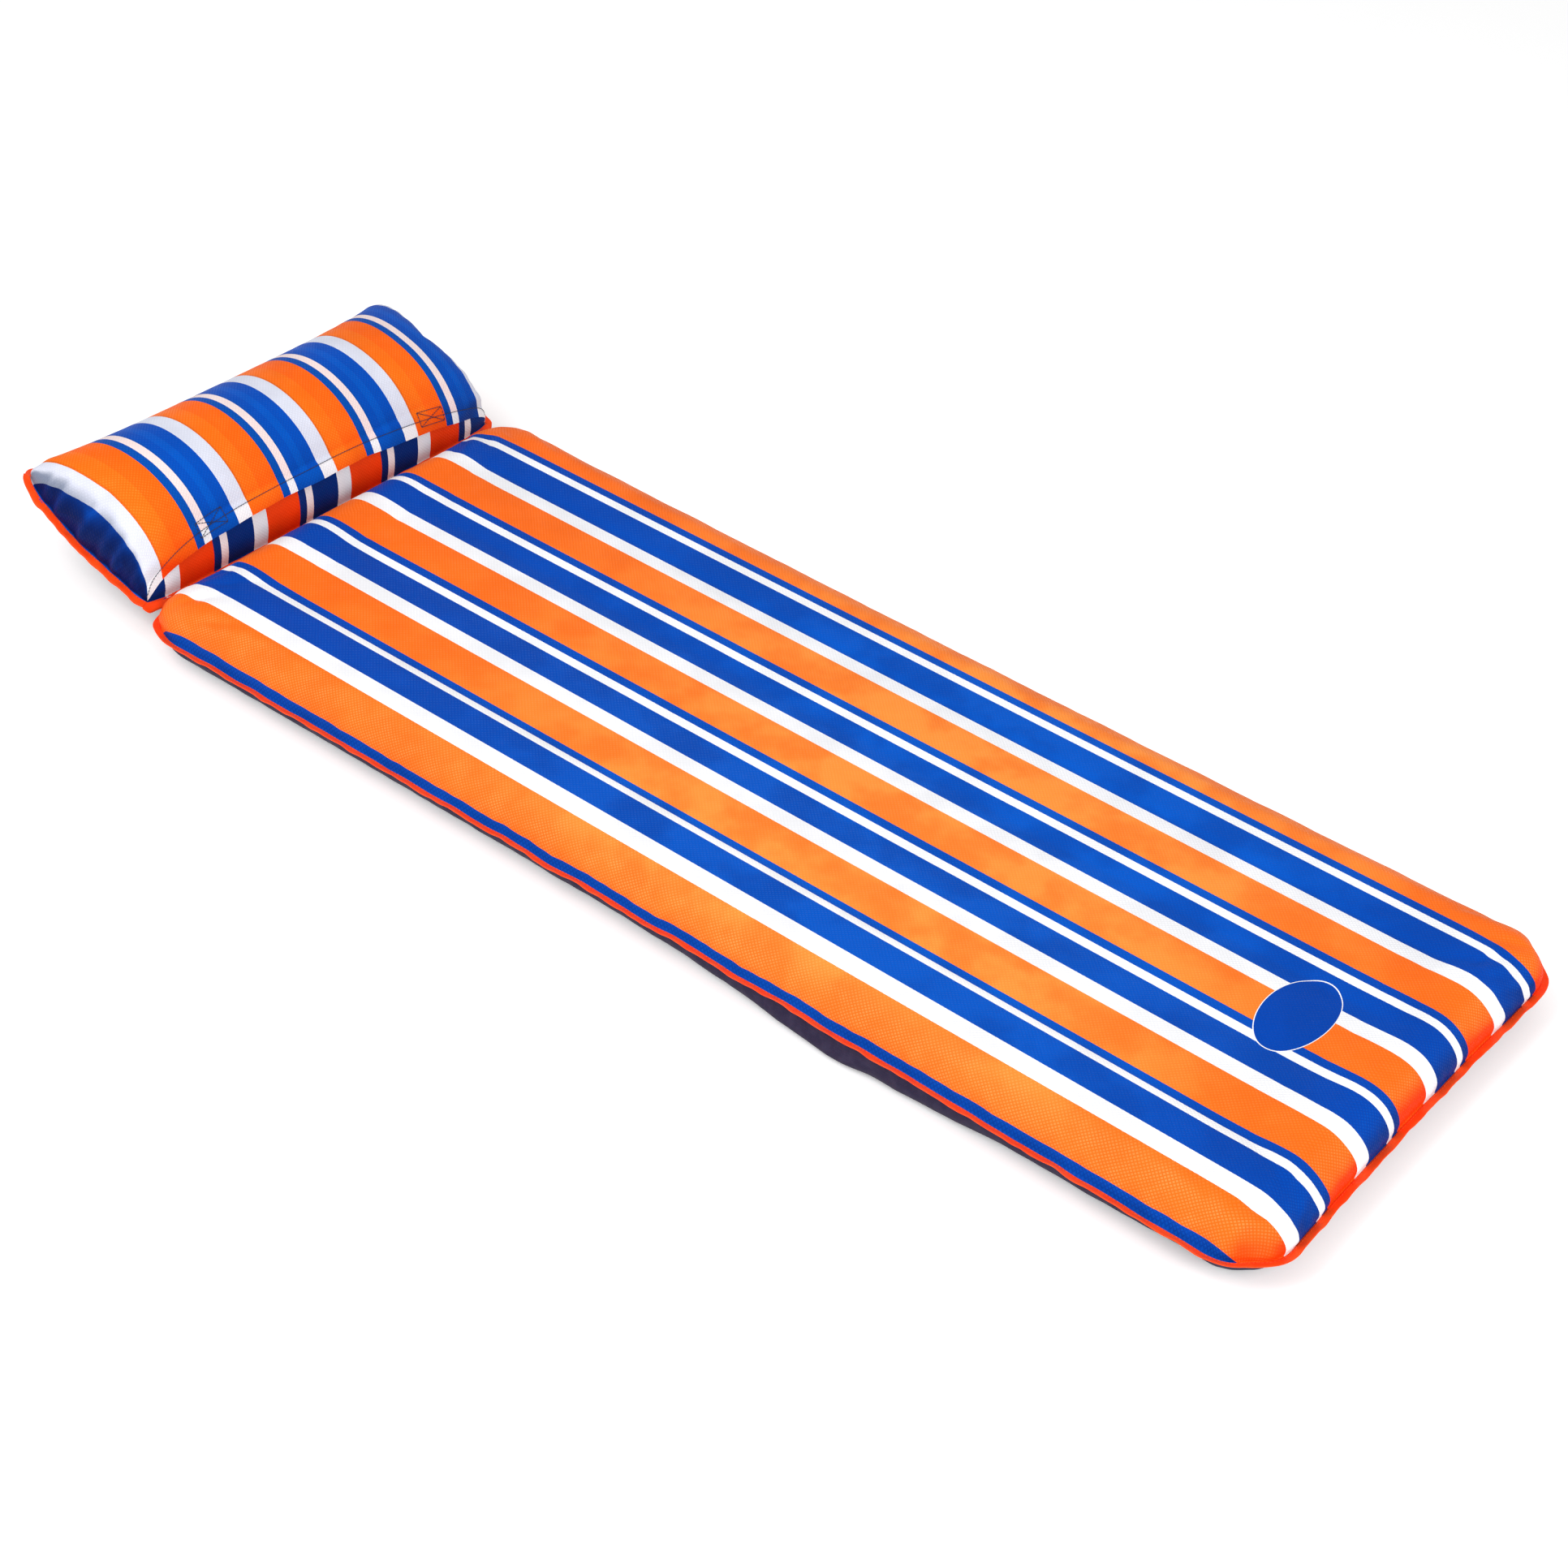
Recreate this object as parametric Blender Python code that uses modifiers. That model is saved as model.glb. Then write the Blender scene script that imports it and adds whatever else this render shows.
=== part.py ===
"""Fabric covered pool float: an air mattress with a pillow sewn to its head end.

The mattress is an air chamber with lengthwise webs, inside a cover of two panels whose seam is
bound with tape. The pillow is a second chamber in a cover of its own: a back panel, a full inner
panel, and an outer panel whose front edge is a loose flap held by two hook and loop tabs. Each
chamber has a soft valve with a one way leaf and a push in plug.

Metres, +Z up, foot end at -Y, pillow at +Y. The origin is on the floor, at the middle of the whole.
"""

import math

import bmesh
import bpy
from mathutils import Matrix, Vector

# Mattress, measured on the outside of its cover and at its seam
MATTRESS_LENGTH = 1.626
MATTRESS_WIDTH = 0.657
EDGE_REACH = 0.049
CROWN_RISE = 0.042
UNDERSIDE_DROP = 0.042
CROWN_CORNER_RADIUS = 0.014
SIDE_DRAW_IN = 0.004
FOOT_DRAW_IN = 0.005
CHANNEL_COUNT = 5
CHANNEL_DEPTH = 0.0025
CHANNEL_RUN_OUT = 0.080
WEB_END_GAP = 0.030

# Pillow, measured on the outside of its cover, in the plane of its own seam
PILLOW_WIDTH = 0.627
PILLOW_DEPTH = 0.2367
PILLOW_CROWN = 0.108
PILLOW_BELLY = 0.096
PILLOW_TILT = math.radians(14.2)
PILLOW_SIDE_SHIFT = 0.012
PILLOW_END_DRAW_IN = 0.005
PILLOW_CORNER_PULL = 0.009
PULL_SPREAD_ACROSS = 12
PULL_SPREAD_ALONG = 6
END_FULLNESS = 4.7
BELLY_END_POWER = 4.0
SECTION_FULLNESS = 2.13
PILLOW_FOLD_GAP = 0.003

# Flap along the front of the pillow, as angles round its section from the front seam
HEM_ANGLE = math.radians(17.5)
FLAP_FOLD_ANGLE = math.radians(41.0)
FLAP_END_ANGLE = math.radians(60.0)
FLAP_FLARE = 0.0065
FLARE_EASE = 0.62
FLARE_END_POWER = 4
FLAP_SLIT = 0.0008
FLAP_PIVOT_STAND_OFF = 0.0006

# Hook and loop tabs
TAB_FROM_FLAP_END = 0.074
TAB_LENGTH = 0.045
TAB_HEIGHT = 0.018
TAB_THICKNESS = 0.0008

# Sheet goods, seams and clearances
FABRIC = 0.0005
FILM = 0.0004
BINDING_TAPE = 0.0006
SEAM_ALLOWANCE = 0.010
BINDING_SET_BACK = 0.0015
LAYER_GAP = 0.0004
SEAT_GAP = 0.0003
HINGE_TAPE_LAP = 0.009
HINGE_TAPE_END_SLACK = 0.005

# Valves, with depths and heights from the cover's outer face
VALVE_FROM_HEAD = 0.265
VALVE_WALL_ANGLE = math.radians(24.0)
PILLOW_VALVE_SIDE_ANGLE = math.radians(30.0)
PILLOW_VALVE_BACK_ANGLE = math.radians(150.0)
VALVE_FLANGE_RADIUS = 0.013
VALVE_FLANGE_THICKNESS = 0.001
VALVE_FLANGE_DEPTH = 0.0046
VALVE_NECK_RADIUS = 0.0065
VALVE_BORE_RADIUS = 0.0045
VALVE_NECK_PROUD = 0.005
VALVE_LEAF_LAP = 0.0011
VALVE_LEAF_THICKNESS = 0.0006
PLUG_SHANK_LENGTH = 0.008
PLUG_HEAD_THICKNESS = 0.002
PLUG_PULL_WIDTH = 0.006
PLUG_PULL_THICKNESS = 0.0015
PLUG_PULL_HEIGHT = 0.004

# How finely the soft shapes are divided
CORNER_STEPS = 4
WALL_ANGLES = [math.radians(step) for step in (0, 20, 40, 60, 78, 90)]
HEM_STEPS = 2
FLAP_STEPS = 2
FLAP_COLUMNS = 4
END_COLUMN_SHARES = (0.5, 0.77, 1.0)
PILLOW_REAR_ROWS = 8
ROUND_STEPS = 20

# Sizes that follow from the ones above
COVER_LAYER = FABRIC + LAYER_GAP
PANEL_LIFT = SEAT_GAP / 2 + FABRIC
OUTER_PANEL_LIFT = PANEL_LIFT + SEAT_GAP + FABRIC
BINDING_LIFT = SEAT_GAP + BINDING_TAPE
BINDING_TIP = SEAM_ALLOWANCE + SEAT_GAP + BINDING_TAPE
SEAM_CORNER_RADIUS = EDGE_REACH + CROWN_CORNER_RADIUS
CHANNEL_WIDTH = MATTRESS_WIDTH / CHANNEL_COUNT
STRAIGHT_HALF_WIDTH = MATTRESS_WIDTH / 2 - SEAM_CORNER_RADIUS
STRAIGHT_HALF_LENGTH = MATTRESS_LENGTH / 2 - SEAM_CORNER_RADIUS
MATTRESS_REACH = MATTRESS_LENGTH / 2 + BINDING_TIP
HINGE_AHEAD = MATTRESS_REACH + PILLOW_FOLD_GAP
PILLOW_SEAM_AHEAD = BINDING_TIP + LAYER_GAP
PILLOW_REACH = (PILLOW_SEAM_AHEAD + PILLOW_DEPTH + BINDING_TIP) * math.cos(PILLOW_TILT)
PILLOW_TIP_DIP = (PANEL_LIFT + BINDING_LIFT) * math.sin(PILLOW_TILT)
MATTRESS_CENTRE_Y = (MATTRESS_REACH - HINGE_AHEAD - PILLOW_REACH - PILLOW_TIP_DIP) / 2


def clear_scene():
    """Remove every object, so that only the float is left."""
    for item in list(bpy.data.objects):
        bpy.data.objects.remove(item, do_unlink=True)


def make_collection(name):
    """Return a new collection linked to the scene."""
    collection = bpy.data.collections.new(name)
    bpy.context.scene.collection.children.link(collection)
    return collection


def make_material(name, colour, roughness):
    """Return a Principled material of one colour."""
    material = bpy.data.materials.new(name)
    material.use_nodes = True
    shader = material.node_tree.nodes["Principled BSDF"]
    shader.inputs["Base Color"].default_value = (*colour, 1.0)
    shader.inputs["Roughness"].default_value = roughness
    shader.inputs["Metallic"].default_value = 0.0
    return material


def make_empty(name, collection, parent, matrix):
    """Return an empty that carries pieces, placed in its parent's space."""
    empty = bpy.data.objects.new(name, None)
    empty.empty_display_size = 0.05
    empty.parent = parent
    empty.matrix_local = matrix
    collection.objects.link(empty)
    return empty


def add_piece(name, shape, collection, parent, material):
    """Turn a bmesh into a named object that hangs from its carrier."""
    mesh = bpy.data.meshes.new(name)
    shape.to_mesh(mesh)
    shape.free()
    mesh.materials.append(material)
    mesh.shade_smooth()
    mesh.set_sharp_from_angle(angle=math.radians(45))
    piece = bpy.data.objects.new(name, mesh)
    piece.parent = parent
    collection.objects.link(piece)
    return piece


def add_skin(name, shape, inner_point, thickness, collection, parent, material):
    """Turn an open surface into a shell whose wall goes inward, towards a point it encloses."""
    shape.normal_update()
    outward = sum(face.normal.dot(face.calc_center_median() - inner_point) * face.calc_area()
                  for face in shape.faces)
    if outward < 0:
        bmesh.ops.reverse_faces(shape, faces=shape.faces)
    piece = add_piece(name, shape, collection, parent, material)
    wall = piece.modifiers.new("wall", "SOLIDIFY")
    wall.thickness = thickness
    wall.offset = -1.0
    wall.use_even_offset = True
    return piece


def use_tool(piece, tool, operation):
    """Cut a tool's shape out of a piece, or join it on."""
    joint = piece.modifiers.new(tool.name, "BOOLEAN")
    joint.operation = operation
    joint.object = tool


def make_tool(name, shape, tools, parent):
    """Return a hidden object that only cuts or adds to others."""
    mesh = bpy.data.meshes.new(name)
    shape.to_mesh(mesh)
    shape.free()
    tool = bpy.data.objects.new(name, mesh)
    tool.parent = parent
    tool.hide_render = True
    tool.display_type = "WIRE"
    tools.objects.link(tool)
    return tool


def box_shape(size, matrix):
    """Return a box of a given size, placed by a matrix."""
    shape = bmesh.new()
    bmesh.ops.create_cube(shape, size=1.0, matrix=matrix @ Matrix.Diagonal((*size, 1.0)))
    return shape


def cylinder_shape(radius, depth, centre):
    """Return a cylinder along Z round a centre point."""
    shape = bmesh.new()
    bmesh.ops.create_cone(shape, cap_ends=True, segments=ROUND_STEPS, radius1=radius, radius2=radius,
                          depth=depth, matrix=Matrix.Translation(centre))
    return shape


def turned_piece(name, profile, closed, collection, parent, material):
    """Return a piece turned round Z from points given as radius and height."""
    shape = bmesh.new()
    points = [shape.verts.new((radius, 0.0, height)) for radius, height in profile]
    for first, second in zip(points, points[1:]):
        shape.edges.new((first, second))
    if closed:
        shape.edges.new((points[-1], points[0]))
    piece = add_piece(name, shape, collection, parent, material)
    turn = piece.modifiers.new("turn", "SCREW")
    turn.axis = "Z"
    turn.steps = ROUND_STEPS
    turn.render_steps = ROUND_STEPS
    turn.use_merge_vertices = True
    turn.merge_threshold = 0.00001
    turn.use_smooth_shade = False
    return piece


def offset_loop(loop, distance):
    """Move a closed counter-clockwise outline out by a distance, keeping its edges parallel."""
    moved = []
    for index, point in enumerate(loop):
        before = (point - loop[index - 1]).normalized()
        after = (loop[(index + 1) % len(loop)] - point).normalized()
        normal = Vector((before.y + after.y, -before.x - after.x)).normalized()
        stretch = normal.dot(Vector((after.y, -after.x)))
        moved.append(point + normal * distance / stretch)
    return moved


def border_station(column, row, across, along):
    """Return a border point's number along the outline, or -1 inside the net."""
    if row == 0:
        return column
    if column == across:
        return across + row
    if row == along:
        return 2 * across + along - column
    if column == 0:
        return 2 * across + 2 * along - row
    return -1


def net_border(net):
    """Return the outline of a net of points, counter-clockwise from its first point, seen from above."""
    across = len(net[0]) - 1
    along = len(net) - 1
    loop = [None] * (2 * across + 2 * along)
    for row, points in enumerate(net):
        for column, point in enumerate(points):
            station = border_station(column, row, across, along)
            if station >= 0:
                loop[station] = Vector((point.x, point.y))
    return loop


def grid_shape(net):
    """Return a grid laid over a net of points, whose vertices know their column, row and station."""
    along = len(net) - 1
    across = len(net[0]) - 1
    shape = bmesh.new()
    bmesh.ops.create_grid(shape, x_segments=across, y_segments=along, size=1.0)
    columns = shape.verts.layers.int.new("column")
    rows = shape.verts.layers.int.new("row")
    stations = shape.verts.layers.int.new("station")
    for vertex in shape.verts:
        column = round((vertex.co.x + 1) / 2 * across)
        row = round((vertex.co.y + 1) / 2 * along)
        vertex[columns] = column
        vertex[rows] = row
        vertex[stations] = border_station(column, row, across, along)
        vertex.co = net[row][column]
    return shape


def loop_shape(loop, height, filled):
    """Return a closed outline at a height, filled or open, whose vertices know their station."""
    shape = bmesh.new()
    bmesh.ops.create_circle(shape, cap_ends=filled, cap_tris=False, segments=len(loop), radius=1.0)
    stations = shape.verts.layers.int.new("station")
    ordered = sorted(shape.verts, key=lambda vertex: math.atan2(vertex.co.y, vertex.co.x))
    for index, vertex in enumerate(ordered):
        vertex[stations] = index
        vertex.co = (loop[index].x, loop[index].y, height)
    return shape


def grow(shape, edges, loop, height):
    """Extrude border edges to another outline and height, and return the new border edges."""
    stations = shape.verts.layers.int["station"]
    grown = bmesh.ops.extrude_edge_only(shape, edges=edges)["geom"]
    fresh = {item for item in grown if isinstance(item, bmesh.types.BMVert)}
    for vertex in fresh:
        point = loop[vertex[stations]]
        vertex.co = (point.x, point.y, height)
    return [item for item in grown if isinstance(item, bmesh.types.BMEdge) and fresh.issuperset(item.verts)]


def open_edges(shape):
    """Return the edges at the border of an open surface."""
    return [edge for edge in shape.edges if edge.is_boundary]


def mattress_columns():
    """Return the places across the straight part of the foot seam, three to a channel."""
    places = [index * CHANNEL_WIDTH / 3 - MATTRESS_WIDTH / 2 for index in range(3 * CHANNEL_COUNT + 1)]
    inner = [place for place in places if abs(place) < STRAIGHT_HALF_WIDTH - CHANNEL_WIDTH / 12]
    return [-STRAIGHT_HALF_WIDTH, *inner, STRAIGHT_HALF_WIDTH]


def mattress_rows():
    """Return the places along the straight part of a long side."""
    run_out = STRAIGHT_HALF_LENGTH - CHANNEL_RUN_OUT
    return [-STRAIGHT_HALF_LENGTH, -run_out, -run_out / 2, 0.0, run_out / 2, run_out, STRAIGHT_HALF_LENGTH]


def side_seam(along):
    """Return how far a long side's seam lies from the middle line, drawn in at mid length."""
    share = min(abs(along) / STRAIGHT_HALF_LENGTH, 1.0)
    return MATTRESS_WIDTH / 2 - SIDE_DRAW_IN * (1 - share ** 2)


def foot_seam(across):
    """Return how far the foot's seam lies from mid length, drawn in at mid width."""
    return MATTRESS_LENGTH / 2 - FOOT_DRAW_IN * (1 - (across / STRAIGHT_HALF_WIDTH) ** 2)


def corner_arc(centre_x, centre_y, start_angle):
    """Return the points inside a seam corner's quarter turn, without its two ends."""
    points = []
    for step in range(1, CORNER_STEPS):
        angle = start_angle + math.pi / 2 * step / CORNER_STEPS
        points.append(Vector((centre_x + SEAM_CORNER_RADIUS * math.cos(angle),
                              centre_y + SEAM_CORNER_RADIUS * math.sin(angle))))
    return points


def mattress_seam():
    """Return the seam outline counter-clockwise, from the middle of the foot's left corner."""
    foot = [Vector((place, -foot_seam(place))) for place in mattress_columns()]
    right = [Vector((side_seam(place), place)) for place in mattress_rows()]
    head = [Vector((-place, MATTRESS_LENGTH / 2)) for place in mattress_columns()]
    left = [-point for point in right]
    loop = [*foot, *corner_arc(STRAIGHT_HALF_WIDTH, -STRAIGHT_HALF_LENGTH, -math.pi / 2),
            *right, *corner_arc(STRAIGHT_HALF_WIDTH, STRAIGHT_HALF_LENGTH, 0.0),
            *head, *corner_arc(-STRAIGHT_HALF_WIDTH, STRAIGHT_HALF_LENGTH, math.pi / 2),
            *left, *corner_arc(-STRAIGHT_HALF_WIDTH, -STRAIGHT_HALF_LENGTH, math.pi)]
    middle = CORNER_STEPS // 2
    return loop[-middle:] + loop[:-middle]


def wall_ring(angle, drop, depth):
    """Return how far inside the seam, and how far from its plane, a ring of the edge wall runs.

    The wall is a quarter ellipse, which meets the flat face at angle 0 and the seam at a right
    angle. The depth is how deep the layer lies under the cover's outer face.
    """
    normal = Vector((math.sin(angle) / EDGE_REACH, math.cos(angle) / drop)).normalized()
    inside = EDGE_REACH * (1 - math.sin(angle)) + normal.x * depth
    away = drop * math.cos(angle) - normal.y * depth
    return inside, away


def groove(place_x, place_y):
    """Return how deep the crown sinks over the webs, fading towards the ends."""
    if abs(place_x) > (MATTRESS_WIDTH - CHANNEL_WIDTH) / 2:
        return 0.0
    wave = 0.5 + 0.5 * math.cos(2 * math.pi * (place_x + MATTRESS_WIDTH / 2) / CHANNEL_WIDTH)
    to_end = MATTRESS_LENGTH / 2 - EDGE_REACH - abs(place_y)
    return CHANNEL_DEPTH * wave * min(max(to_end / CHANNEL_RUN_OUT, 0.0), 1.0)


def crown_net(border, height):
    """Return a net of points that fills the crown's outline, sunk by the grooves."""
    across = len(mattress_columns()) - 1 + CORNER_STEPS
    along = len(mattress_rows()) - 1 + CORNER_STEPS
    foot = border[:across + 1]
    right = border[across:across + along + 1]
    head = border[across + along:2 * across + along + 1][::-1]
    left = (border[2 * across + along:] + border[:1])[::-1]
    net = []
    for row in range(along + 1):
        up = (right[row].y - right[0].y) / (right[-1].y - right[0].y)
        points = []
        for column in range(across + 1):
            over = (foot[column].x - foot[0].x) / (foot[-1].x - foot[0].x)
            ends = foot[column] * (1 - up) + head[column] * up
            sides = left[row] * (1 - over) + right[row] * over
            foot_chord = foot[0] * (1 - over) + foot[-1] * over
            head_chord = head[0] * (1 - over) + head[-1] * over
            flat = ends + sides - foot_chord * (1 - up) - head_chord * up
            points.append(Vector((flat.x, flat.y, height - groove(flat.x, flat.y))))
        net.append(points)
    return net


def crown_shape(seam, depth):
    """Return the mattress's crown and upper walls, at a depth under the cover's outer face."""
    inside, away = wall_ring(WALL_ANGLES[0], CROWN_RISE, depth)
    shape = grid_shape(crown_net(offset_loop(seam, -inside), away))
    edges = open_edges(shape)
    for angle in WALL_ANGLES[1:-1]:
        inside, away = wall_ring(angle, CROWN_RISE, depth)
        edges = grow(shape, edges, offset_loop(seam, -inside), away)
    return shape, edges


def make_top_panel(seam, group, parent, material):
    """Make the printed upper panel: crown, rounded walls and seam allowance."""
    shape, edges = crown_shape(seam, 0.0)
    edges = grow(shape, edges, seam, PANEL_LIFT)
    grow(shape, edges, offset_loop(seam, SEAM_ALLOWANCE), PANEL_LIFT)
    below = Vector((0.0, 0.0, -MATTRESS_LENGTH))
    return add_skin("mattress_top_panel", shape, below, FABRIC, group, parent, material)


def make_bottom_panel(seam, group, parent, material):
    """Make the plain lower panel, flat where it lies on the floor."""
    inside, away = wall_ring(WALL_ANGLES[0], UNDERSIDE_DROP, 0.0)
    shape = loop_shape(offset_loop(seam, -inside), -away, filled=True)
    edges = open_edges(shape)
    for angle in WALL_ANGLES[1:-1]:
        inside, away = wall_ring(angle, UNDERSIDE_DROP, 0.0)
        edges = grow(shape, edges, offset_loop(seam, -inside), -away)
    edges = grow(shape, edges, seam, -PANEL_LIFT)
    grow(shape, edges, offset_loop(seam, SEAM_ALLOWANCE), -PANEL_LIFT)
    above = Vector((0.0, 0.0, MATTRESS_LENGTH))
    return add_skin("mattress_bottom_panel", shape, above, FABRIC, group, parent, material)


def make_mattress_chamber(seam, group, parent, material):
    """Make the air chamber's film envelope, one layer inside the cover."""
    shape, edges = crown_shape(seam, COVER_LAYER)
    inside, _ = wall_ring(WALL_ANGLES[-1], CROWN_RISE, COVER_LAYER)
    edges = grow(shape, edges, offset_loop(seam, -inside), 0.0)
    for angle in WALL_ANGLES[-2::-1]:
        inside, away = wall_ring(angle, UNDERSIDE_DROP, COVER_LAYER)
        edges = grow(shape, edges, offset_loop(seam, -inside), -away)
    bmesh.ops.edgeloop_fill(shape, edges=edges)
    bmesh.ops.recalc_face_normals(shape, faces=shape.faces)
    return add_skin("mattress_air_chamber", shape, Vector(), FILM, group, parent, material)


def make_web(number, group, parent, material):
    """Make a lengthwise web, which ties the crown to the underside and stops short of the ends."""
    place_x = number * CHANNEL_WIDTH - MATTRESS_WIDTH / 2
    half = MATTRESS_LENGTH / 2 - EDGE_REACH - WEB_END_GAP
    inner = COVER_LAYER + FILM + SEAT_GAP
    stations = [-half, *[row for row in mattress_rows() if abs(row) < half], half]
    shape = bmesh.new()
    lower = [shape.verts.new((place_x - FILM / 2, y, inner - UNDERSIDE_DROP)) for y in stations]
    upper = [shape.verts.new((place_x - FILM / 2, y, CROWN_RISE - inner - groove(place_x, y)))
             for y in stations]
    outline = shape.faces.new(lower + upper[::-1])
    grown = bmesh.ops.extrude_face_region(shape, geom=[outline])["geom"]
    moved = [item for item in grown if isinstance(item, bmesh.types.BMVert)]
    bmesh.ops.translate(shape, verts=moved, vec=(FILM, 0.0, 0.0))
    bmesh.ops.recalc_face_normals(shape, faces=shape.faces)
    return add_piece(f"chamber_web_{number}", shape, group, parent, material)


def make_binding(name, seam, lift_above, group, parent, material):
    """Make the folded tape that wraps a seam's edges all the way round."""
    near = offset_loop(seam, BINDING_SET_BACK)
    tip = offset_loop(seam, BINDING_TIP)
    top = lift_above + BINDING_LIFT
    bottom = -PANEL_LIFT - BINDING_LIFT
    shape = loop_shape(near, top, filled=False)
    edges = grow(shape, list(shape.edges), tip, top)
    edges = grow(shape, edges, tip, bottom)
    grow(shape, edges, near, bottom)
    bmesh.ops.recalc_face_normals(shape, faces=shape.faces)
    shape.normal_update()
    highest = max(shape.faces, key=lambda face: face.calc_center_median().z)
    if highest.normal.z < 0:
        bmesh.ops.reverse_faces(shape, faces=shape.faces)
    piece = add_piece(name, shape, group, parent, material)
    wall = piece.modifiers.new("wall", "SOLIDIFY")
    wall.thickness = BINDING_TAPE
    wall.offset = -1.0
    wall.use_even_offset = True
    return piece


def make_hinge_tape(group, parent, material):
    """Make the tape that lies on the head's binding and reaches to the pillow's fold line."""
    top = PANEL_LIFT + BINDING_LIFT + SEAT_GAP + BINDING_TAPE
    ahead = MATTRESS_REACH + SEAT_GAP + BINDING_TAPE
    half = STRAIGHT_HALF_WIDTH - HINGE_TAPE_END_SLACK
    route = [(MATTRESS_REACH - HINGE_TAPE_LAP, top), (ahead, top), (ahead, BINDING_TAPE / 2),
             (HINGE_AHEAD - SEAT_GAP, BINDING_TAPE / 2)]
    shape = bmesh.new()
    points = [shape.verts.new((-half, y, z)) for y, z in route]
    edges = [shape.edges.new(pair) for pair in zip(points, points[1:])]
    grown = bmesh.ops.extrude_edge_only(shape, edges=edges)["geom"]
    moved = [item for item in grown if isinstance(item, bmesh.types.BMVert)]
    bmesh.ops.translate(shape, verts=moved, vec=(2 * half, 0.0, 0.0))
    inner = Vector((0.0, 0.0, -MATTRESS_LENGTH))
    return add_skin("pillow_hinge_tape", shape, inner, BINDING_TAPE, group, parent, material)


def pillow_columns():
    """Return the pillow's columns from side to side, where -1 and 1 are its end seams."""
    flap = [FLAP_END_ANGLE * step / FLAP_COLUMNS for step in range(FLAP_COLUMNS + 1)]
    ends = [FLAP_END_ANGLE + (math.pi / 2 - FLAP_END_ANGLE) * share for share in END_COLUMN_SHARES]
    half = [math.sin(angle) for angle in flap + ends]
    return [-place for place in half[:0:-1]] + half


def pillow_rows():
    """Return the pillow's rows from front to back, where -1 and 1 are its front and back seams."""
    front = [HEM_ANGLE * step / HEM_STEPS for step in range(HEM_STEPS)]
    height = FLAP_FOLD_ANGLE - HEM_ANGLE
    flap = [HEM_ANGLE + height * step / FLAP_STEPS for step in range(FLAP_STEPS)]
    sweep = math.pi - FLAP_FOLD_ANGLE
    rear = [FLAP_FOLD_ANGLE + sweep * step / PILLOW_REAR_ROWS for step in range(PILLOW_REAR_ROWS + 1)]
    return [-math.cos(angle) for angle in front + flap + rear]


def pillow_point(across, along, side):
    """Return a point of the pillow's outer face, seen from the fold line, resting on the floor."""
    end_spread = abs(across) ** PULL_SPREAD_ACROSS
    pull = PILLOW_CORNER_PULL * end_spread * abs(along) ** PULL_SPREAD_ALONG
    drawn = PILLOW_END_DRAW_IN * end_spread * (1 - along ** 2)
    place_x = PILLOW_WIDTH / 2 * across - math.copysign(pull + drawn, across)
    place_y = PILLOW_SEAM_AHEAD + PILLOW_DEPTH / 2 * (1 + along) - math.copysign(pull, along)
    section_share = max(1 - abs(along) ** SECTION_FULLNESS, 0.0) ** (1 / SECTION_FULLNESS)
    if side > 0:
        rise = PILLOW_CROWN * max(1 - abs(across) ** END_FULLNESS, 0.0) ** (1 / END_FULLNESS)
    else:
        rise = -PILLOW_BELLY * (1 - abs(across) ** BELLY_END_POWER)
    floor = -(UNDERSIDE_DROP + place_y * math.sin(PILLOW_TILT)) / math.cos(PILLOW_TILT)
    return Vector((place_x, place_y, max(rise * section_share, floor)))


def pillow_net(side):
    """Return the net of points of the pillow's upper or lower outer face."""
    return [[pillow_point(across, along, side) for across in pillow_columns()] for along in pillow_rows()]


def outward_normals(upper, lower):
    """Return the normals of two nets that share their border, as a table for each."""
    sums = {side: [[Vector() for _ in points] for points in upper] for side in (1, -1)}
    for side, net in ((1, upper), (-1, lower)):
        for row in range(len(net) - 1):
            for column in range(len(net[0]) - 1):
                first = net[row + 1][column + 1] - net[row][column]
                second = net[row + 1][column] - net[row][column + 1]
                for down, over in ((0, 0), (0, 1), (1, 0), (1, 1)):
                    sums[side][row + down][column + over] += first.cross(second) * side
    across = len(upper[0]) - 1
    along = len(upper) - 1
    for row in range(along + 1):
        for column in range(across + 1):
            if border_station(column, row, across, along) >= 0:
                shared = sums[1][row][column] + sums[-1][row][column]
                sums[1][row][column] = shared
                sums[-1][row][column] = shared
    return {side: [[normal.normalized() for normal in row] for row in table]
            for side, table in sums.items()}


def pillow_layer(side, depth, border_height):
    """Return a pillow net moved in by a depth, with its border at a height from the seam plane."""
    normals = outward_normals(pillow_net(1), pillow_net(-1))[side]
    net = pillow_net(side)
    across = len(net[0]) - 1
    along = len(net) - 1
    for row, points in enumerate(net):
        for column, point in enumerate(points):
            point -= normals[row][column] * depth
            if border_station(column, row, across, along) >= 0:
                point.z = border_height
    return net


def drop_faces(shape, unwanted):
    """Delete the faces whose lowest column and row a test picks out."""
    columns = shape.verts.layers.int["column"]
    rows = shape.verts.layers.int["row"]
    picked = [face for face in shape.faces
              if unwanted(min(corner[columns] for corner in face.verts),
                          min(corner[rows] for corner in face.verts))]
    bmesh.ops.delete(shape, geom=picked, context="FACES")


def seam_edges(shape):
    """Return the border edges of a grid that lie on its seam."""
    stations = shape.verts.layers.int["station"]
    return [edge for edge in open_edges(shape) if all(end[stations] >= 0 for end in edge.verts)]


class FlapSpan:
    """The rows and columns of the outer panel that the loose flap takes up."""

    hem_row = HEM_STEPS
    fold_row = HEM_STEPS + FLAP_STEPS
    first_column = len(END_COLUMN_SHARES)
    last_column = len(END_COLUMN_SHARES) + 2 * FLAP_COLUMNS

    @classmethod
    def holds(cls, column, row):
        """Tell whether a face belongs to the flap."""
        return cls.first_column <= column < cls.last_column and cls.hem_row <= row < cls.fold_row


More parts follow.
